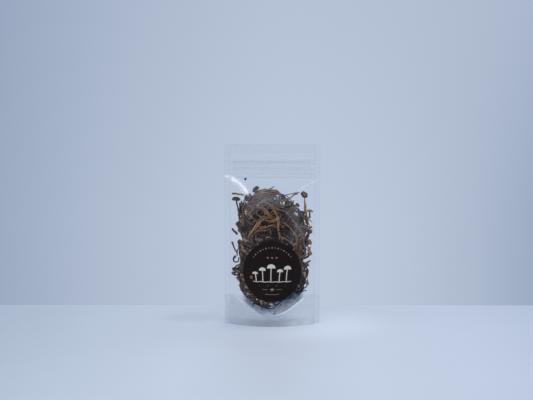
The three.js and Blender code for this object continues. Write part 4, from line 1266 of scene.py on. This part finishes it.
def add_stem(heap, stem, random, sides):
    """A shrivelled stem: flattened and twisted, with folds along it and a crooked course."""
    course = curve_through(stem["points"], STEM_SPACING)
    count = len(course)
    share = np.linspace(0, 1, count)
    phase = [2 * math.pi * random() for _ in range(4)]
    crook = 0.3 * stem["radius"]
    course = course + crook * np.stack([
        np.sin(0.9 * np.arange(count) + phase[0]),
        0.5 * np.sin(0.7 * np.arange(count) + phase[1]),
        np.sin(0.8 * np.arange(count) + phase[2]),
    ], 1) * np.sin(share * math.pi)[:, None]
    along = np.gradient(course, axis=0)
    along /= np.linalg.norm(along, axis=1)[:, None] + 1e-9
    normal = np.array((0.0, 1.0, 0.1))
    flat = 0.25 + 0.3 * random()
    twist = 0.10 + 0.12 * random()
    rings, grooves = [], []
    turns = 2 * math.pi * np.arange(sides) / sides
    for i in range(count):
        normal = normal - along[i] * normal.dot(along[i])
        normal /= np.linalg.norm(normal)
        across = np.cross(along[i], normal)
        swell = 1.15 - 0.35 * share[i] + 0.14 * math.sin(0.55 * i + phase[3])
        fold = np.cos(2 * (turns + twist * i + phase[1])) * flat + 0.12 * np.cos(3 * turns + 0.5 * i)
        radius = stem["radius"] * swell * (1 + fold)
        spokes = np.cos(turns)[:, None] * normal + np.sin(turns)[:, None] * across
        rings.append(course[i] + radius[:, None] * spokes)
        grooves.append(fold)
    points = inside_bag(np.vstack(rings), SKIN_ROOM)
    tones = np.repeat(stem["tone"] * (1 - 0.35 * (1 - share) ** 3), sides)
    heap.add(points, tube_faces(count, sides), tones, stem["pale"], np.concatenate(grooves))
    return course[-1], along[-1]


# A cap's section from its top to its middle underneath: out and up, in shares of its radius.
CAP_PROFILE = [
    (0.0, 0.55), (0.3, 0.53), (0.6, 0.42), (0.85, 0.2), (1.0, -0.12),
    (0.97, -0.36), (0.8, -0.42), (0.55, -0.2), (0.0, -0.12),
]
CAP_SIDES = 16


def add_cap(heap, centre, direction, stem, random):
    """A shrunken cap: a crumpled dome whose rim has rolled in, pressed where it meets a film."""
    radius, height = stem["cap"], stem.get("dome", 1.0)
    axis = np.array(direction) + 0.5 * np.array([random() - 0.5, random() - 0.5, random() - 0.5])
    axis = np.array(stem.get("facing", axis))
    axis /= np.linalg.norm(axis)
    side = np.cross(axis, (0.3, 1.0, 0.2))
    side /= np.linalg.norm(side)
    other = np.cross(axis, side)
    turns = 2 * math.pi * np.arange(CAP_SIDES) / CAP_SIDES
    folds = 3 + math.floor(4 * random())
    phase = 2 * math.pi * random()
    squeeze = 0.75 + 0.25 * random()
    lobes = stem.get("lobes", 1.0)
    rings, grooves = [], []
    for across, along in CAP_PROFILE:
        crumple = 1 + 0.16 * lobes * across * np.sin(folds * turns + phase)
        crumple = crumple + 0.07 * across * np.sin((2 * folds + 1) * turns + 2 * phase)
        wave = 0.16 * lobes * across * np.sin((folds - 1) * turns + 3 * phase)
        out = radius * max(across, 0.02) * crumple
        rings.append(
            centre
            + (out * np.cos(turns))[:, None] * side
            + (squeeze * out * np.sin(turns))[:, None] * other
            + (radius * height * (along + wave))[:, None] * axis
        )
        grooves.append(crumple - 1)
    points = inside_bag(np.vstack(rings), SKIN_ROOM)
    rim = np.repeat([stem.get("rim", 0.35) * across ** 3 for across, _ in CAP_PROFILE], CAP_SIDES)
    tones = stem.get("cap_tone", 0.05 + 0.7 * random()) + rim
    pale = stem.get("cap_pale", 0.6 * random() ** 2)
    heap.add(points, tube_faces(len(CAP_PROFILE), CAP_SIDES), tones, pale, np.concatenate(grooves))


def add_mushroom(stems, caps, stem, random, sides=STEM_SIDES):
    end, direction = add_stem(stems, stem, random, sides)
    if stem["cap"] > 0:
        add_cap(caps, end, direction, stem, random)


# How far stems keep from the mushrooms that lie apart from the bunch.
THICK_ROOM, FINE_ROOM, CAPPED_ROOM = 0.7, 0.5, 1.5


def distances(stem, other):
    line, course = curve_through(stem["points"], 2.0), curve_through(other["points"], 1.5)
    return np.linalg.norm(line[:, None] - course[None], axis=2)


def clear_of(stem, others):
    for other in others:
        room = THICK_ROOM + (CAPPED_ROOM if other["cap"] else 0)
        if distances(stem, other).min() < room + 1.5 * stem["radius"] + other["radius"]:
            return False
    return True


def just_clear_of(stem, others):
    """The same for a fine stem, which may lie near another's stem but not near its cap."""
    for other in others:
        apart = distances(stem, other)
        if apart.min() < FINE_ROOM + 1.5 * stem["radius"] + other["radius"]:
            return False
        if other["cap"] and apart[:, -1].min() < FINE_ROOM + stem["radius"] + other["cap"]:
            return False
    return True


def under_shoulders(stem):
    """Whether a stem keeps under the bunch's outline at its top and its shoulders."""
    x, _, z = np.array(stem["points"]).T
    return bool(np.all(z < np.interp(x, *np.array(SHOULDERS, float).T)))


def passes(stem, places):
    """Whether a stem goes through any of the places, seen from the front."""
    x, _, z = np.array(stem["points"]).T
    return any(np.min(np.hypot(x - at_x, z - at_z)) < half for at_x, at_z, half in places)


def shaded(stem):
    """The stem, darker where it passes over a hollow."""
    return {**stem, "tone": 0.3 * stem["tone"]} if passes(stem, HOLLOWS) else stem


def below_top(stem):
    """Whether a stem and its cap keep out of the bunch's top, where only a few bare stems reach."""
    highest = max(point[2] for point in stem["points"])
    return highest < STEMS_TOP_Z and (not stem["cap"] or stem["points"][-1][2] < CAPS_TOP_Z)


def fits_in(stem):
    return below_top(stem) and under_shoulders(stem) and not passes(stem, BARE_PLACES)


# The core's near-black tone is painted shade deep in the bunch.
CORE_GRID, CORE_TONE, CORE_ROOM = (46, 70), 0.02, 0.8


def add_core(heap):
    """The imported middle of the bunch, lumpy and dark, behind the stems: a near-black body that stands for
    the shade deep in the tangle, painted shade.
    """
    rows, columns = CORE_GRID
    across, along = np.meshgrid(np.linspace(-1, 1, rows), np.linspace(-1, 1, columns), indexing="ij")
    across, along = across.ravel(), along.ravel()
    z = (CORE_LOW_Z + CORE_HIGH_Z) / 2 + along * (CORE_HIGH_Z - CORE_LOW_Z) / 2
    left, right = np.interp(z, OUTLINE_Z, OUTLINE_LEFT), np.interp(z, OUTLINE_Z, OUTLINE_RIGHT)
    narrowing = np.sqrt(np.maximum(1 - along ** 6, 0.1))
    x = (left + right) / 2 + across * ((right - left) / 2 - CORE_INSET) * narrowing
    for side in (-1, 1):
        lump = noise_field(sheet_points(x, 30.0 * side, z), 7, 21, 4)
        thickness = np.sqrt(np.maximum(1 - np.abs(across) ** 3, 0)) * narrowing
        y = side * CORE_SHARE * thickness * (0.9 + 0.35 * lump) * inner_depth(x, z)
        points = inside_bag(np.stack([x, y, z], 1), CORE_ROOM)
        heap.add(points, grid_faces(rows, columns, turned=side > 0), CORE_TONE, 0.0, lump)


# How the loose mushrooms differ: shares for the tones, and the sizes and shape of the cap.
LOOSE_LOOKS = {
    "loose_mushroom_right": {
        "tone": 1.0, "pale": 0.0, "facing": (0.1, -1, 0.3),
        "cap_tone": 0.95, "cap_pale": 0.0, "rim": -0.8, "lobes": 0.4,
    },
    "loose_mushroom_left": {
        "tone": 0.62, "pale": 0.1, "radius": 0.9, "facing": (0.05, 0, 1),
        "cap_tone": 0.1, "cap_pale": 0.1, "dome": 0.9, "lobes": 0.5,
    },
    "loose_stem_upper_left": {"tone": 0.95, "pale": 0.0},
    "loose_cap_right": {
        "tone": 0.5, "pale": 0.7, "cap": 3.2, "facing": (0.1, -0.3, 0.95),
        "cap_tone": 0.5, "cap_pale": 0.9, "dome": 0.6,
    },
    "loose_stub_left": {"tone": 0.6, "pale": 0.0},
    "loose_stem_left": {"tone": 0.9, "pale": 0.0},
    "loose_curl_left": {"tone": 0.75, "pale": 0.1},
    "crumb": {"tone": 0.1, "pale": 0.3, "radius": 0.7},
}

# How some of the leading stems differ: those at the top of the bunch are paler and greyer.
LEADER_LOOKS = {
    4: {"pale": 0.8},
    5: {"pale": 0.8, "tone": 0.4, "cap": 0},
    6: {"pale": 0.6},
    7: {"pale": 0.8},
    8: {
        "tone": 0.62, "pale": 0.0, "radius": 1.7, "facing": (0.7, -0.5, 0.5),
        "cap_tone": 0.05, "cap_pale": 0.3, "dome": 0.7,
    },
    9: {"tone": 0.9},
}


def toned(stems, random, tones, pale):
    for stem in stems:
        stem["tone"] = within(tones, random)
        stem["pale"] = pale * random() ** 2
    return stems


def tufts_of(kind, random):
    return toned(tuft_stems(kind), random, kind["tones"], kind["pale"])


def gather_stems(random):
    """The bunch's thick stems and its thin ones, each with its tone."""
    leaders = [coursed_stem(given) for given in LEADING_STEMS]
    leaders = toned(leaders, random, LEADER_TONES, LEADER_PALE)
    for place, look in LEADER_LOOKS.items():
        leaders[place].update(look)
    thick, deep, thin = [tufts_of(kind, random) for kind in (MAIN, DEEP, SHALLOW)]
    thin += [stem for stem in sheaf_stems() if len(stem["points"]) > 2]
    thick = leaders + [stem for stem in thick if below_top(stem)]
    thick += [stem for stem in deep if fits_in(stem)]
    thin = [shaded(stem) for stem in thin if fits_in(stem)]
    return thick, face_stems(FACE_STEMS) + thin + ribbon_stems() + face_stems(THIN_STEMS)


def make_bunch(stem_look, cap_look):
    random = random_from(BUNCH_SEED)
    loose = {name: {**coursed_stem(given), **LOOSE_LOOKS[name]} for name, given in LOOSE_PIECES.items()}
    thick, thin = gather_stems(random)
    stems, caps, fine = Heap(), Heap(), Heap()
    add_core(stems)
    for stem in thick:
        if clear_of(stem, loose.values()):
            add_mushroom(stems, caps, stem, random)
    for stem in thin:
        if just_clear_of(stem, loose.values()):
            sides = FINEST_SIDES if stem["radius"] < FINEST_RADIUS else FINE_SIDES
            add_mushroom(fine, caps, stem, random, sides)
    for radius, x, z, facing, tone, pale in PRESSED_CAPS:
        look = {"cap": radius, "facing": facing, "cap_tone": tone, "cap_pale": pale}
        look.update(lobes=0.15, dome=0.6)
        add_cap(caps, placed(x, z, -0.8, 1.0), facing, look, random)
    stems.make("enoki_stems", stem_look, "enoki_bunch")
    fine.make("enoki_fine_stems", stem_look, "enoki_bunch")
    caps.make("enoki_caps", cap_look, "enoki_bunch")
    for name, stem in loose.items():
        stalk, top = Heap(), Heap()
        add_mushroom(stalk, top, stem, random)
        stalk.make(name + "_stalk", stem_look, name)
        if top.count:
            top.make(name + "_cap", cap_look, name)


make_bunch(mushroom_material("dried_stem", STEM_TONES, 0.62), mushroom_material("dried_cap", CAP_TONES, 0.5))

# ---------------------------------------------------------------- label

LABEL_LIFT = FILM + GAP + 0.05
LABEL_THICKNESS = 0.3
LABEL_SIDES = 128
PRINT_LIFT = 0.05


def on_label(right, up, lift=0.0):
    """Points in mm across the label, as it is read, put on its curved face."""
    x = LABEL_X_SHARE * np.asarray(right, float)
    z = LABEL_Z + np.asarray(up, float)
    y = -(inner_depth(x, z) + LABEL_LIFT + LABEL_THICKNESS + lift)
    return np.stack([x, y, z], 1)


def disc_patch(inner, outer, rings):
    """A ring or disc on the label's face, as points and faces."""
    radii = np.linspace(inner, outer, rings)
    around = LABEL_SIDES
    turns = 2 * math.pi * np.arange(around) / around
    right = np.concatenate([r * np.cos(turns) for r in radii])
    up = np.concatenate([r * np.sin(turns) for r in radii])
    faces = []
    for i in range(rings - 1):
        for k in range(around):
            a, b = i * around + k, i * around + (k + 1) % around
            faces.append([a, a + around, b + around, b])
    return on_label(right, up), faces


def make_label():
    look = paper_material("label_paper", srgb(20, 6, 6), 0.35, 0.7)
    top, faces = disc_patch(0.0, LABEL_RADIUS, 30)
    rim, rim_faces = disc_patch(LABEL_RADIUS - 0.01, LABEL_RADIUS, 2)
    rim[:LABEL_SIDES] = top[-LABEL_SIDES:] + (0, LABEL_THICKNESS, 0)
    faces += [[i + len(top) for i in face[::-1]] for face in rim_faces]
    make_object("label_disc", np.vstack([top, rim]), faces, look, ["round_label"])


class Print:
    """Flat shapes printed on the label, a little proud of it."""

    def __init__(self):
        self.points, self.faces = [], []

    def patch(self, outline):
        first = len(self.points)
        self.points += outline
        self.faces.append(list(range(first, first + len(outline))))

    def area(self, low, high, ends, rows=6, columns=8):
        """Fills between two heights, from the left to the right end that ends(height) gives."""
        first = len(self.points)
        for up in np.linspace(low, high, rows):
            left, right = ends(up)
            self.points += [(right_at, up) for right_at in np.linspace(left, right, columns)]
        self.faces += grid_faces(rows, columns, first)

    def line(self, course, width):
        course = np.array(course, float)
        along = np.gradient(course, axis=0)
        along /= np.linalg.norm(along, axis=1)[:, None]
        aside = np.stack([-along[:, 1], along[:, 0]], 1) * width / 2
        near, far = (course - aside).tolist(), (course + aside).tolist()
        for k in range(len(course) - 1):
            self.patch([near[k], near[k + 1], far[k + 1], far[k]])

    def disc(self, right, up, radius, sides=16):
        turns = [2 * math.pi * k / sides for k in range(sides)]
        self.patch([(right + radius * math.cos(t), up + radius * math.sin(t)) for t in turns])

    def make(self, name, material):
        right, up = np.array(self.points).T
        points = on_label(right, up, PRINT_LIFT)
        make_object(name, points, self.faces, material, smooth_faces=False)


# The mushrooms drawn across the label: place, height, width of the cap and lean, in mm.
DRAWN = [
    (-18.0, 10.5, 6.4, -1.2),
    (-10.5, 15.5, 7.6, -0.6),
    (-1.5, 19.0, 9.6, 0.4),
    (8.0, 13.5, 7.0, 0.9),
    (16.0, 17.0, 8.2, 1.4),
]
GROUND = -10.5


def draw_mushroom(ink, place, height, width, lean):
    """A plain stem with a round cap, whose foot is cut straight."""
    shares = [k / 6 for k in range(7)]
    ink.line([(place + lean * t * t, GROUND + height * 0.8 * t) for t in shares], 1.0)
    centre, base = place + lean, GROUND + height * 0.76
    rise = height * 0.24

    def dome(up):
        half = width / 2 * math.sqrt(max(1 - ((up - base) / rise) ** 2.4, 0.02))
        return centre - half, centre + half

    ink.area(base, base + rise, dome)


def make_print():
    pale = paper_material("label_ink", srgb(216, 209, 200), 0.12, 0.5)
    dim = paper_material("label_dim_ink", srgb(128, 118, 112), 0.15, 0.5)
    ochre = paper_material("label_ochre_ink", srgb(150, 84, 46), 0.15, 0.5)
    ink = Print()
    for drawn in DRAWN:
        draw_mushroom(ink, *drawn)
    ink.line([(-21.5 + 4.3 * k, GROUND - 0.5 + 0.25 * (-1) ** k) for k in range(11)], 0.7)
    ink.make("label_drawing", pale)
    small = Print()
    for k in range(-7, 8):
        turn = math.radians(90 + 7.5 * k)
        small.disc(26.5 * math.cos(turn), 26.5 * math.sin(turn), 0.62 if k % 2 else 0.9, 10)
    for k in (-1, 0, 1):
        small.patch([(5 * k - 1.5, 15.5), (5 * k, 14.4), (5 * k + 1.5, 15.5), (5 * k, 16.6)])
    small.line([(-15, -15.5), (-5, -15.5), (5, -15.5), (15, -15.5)], 0.45)
    small.patch([(-2.6, -19.6), (0, -21.4), (2.6, -19.6), (0, -17.8)])
    small.line([(-11, -19.6), (-8, -19.6), (-5, -19.6)], 0.5)
    small.line([(5, -19.6), (8, -19.6), (11, -19.6)], 0.5)
    small.line([(-8, -24.5), (-3, -25), (3, -25), (8, -24.5)], 0.5)
    small.make("label_small_print", dim)
    mark = Print()
    mark.disc(-23.5, -6.5, 1.8, 20)
    mark.make("label_mark", ochre)


make_label()
make_print()
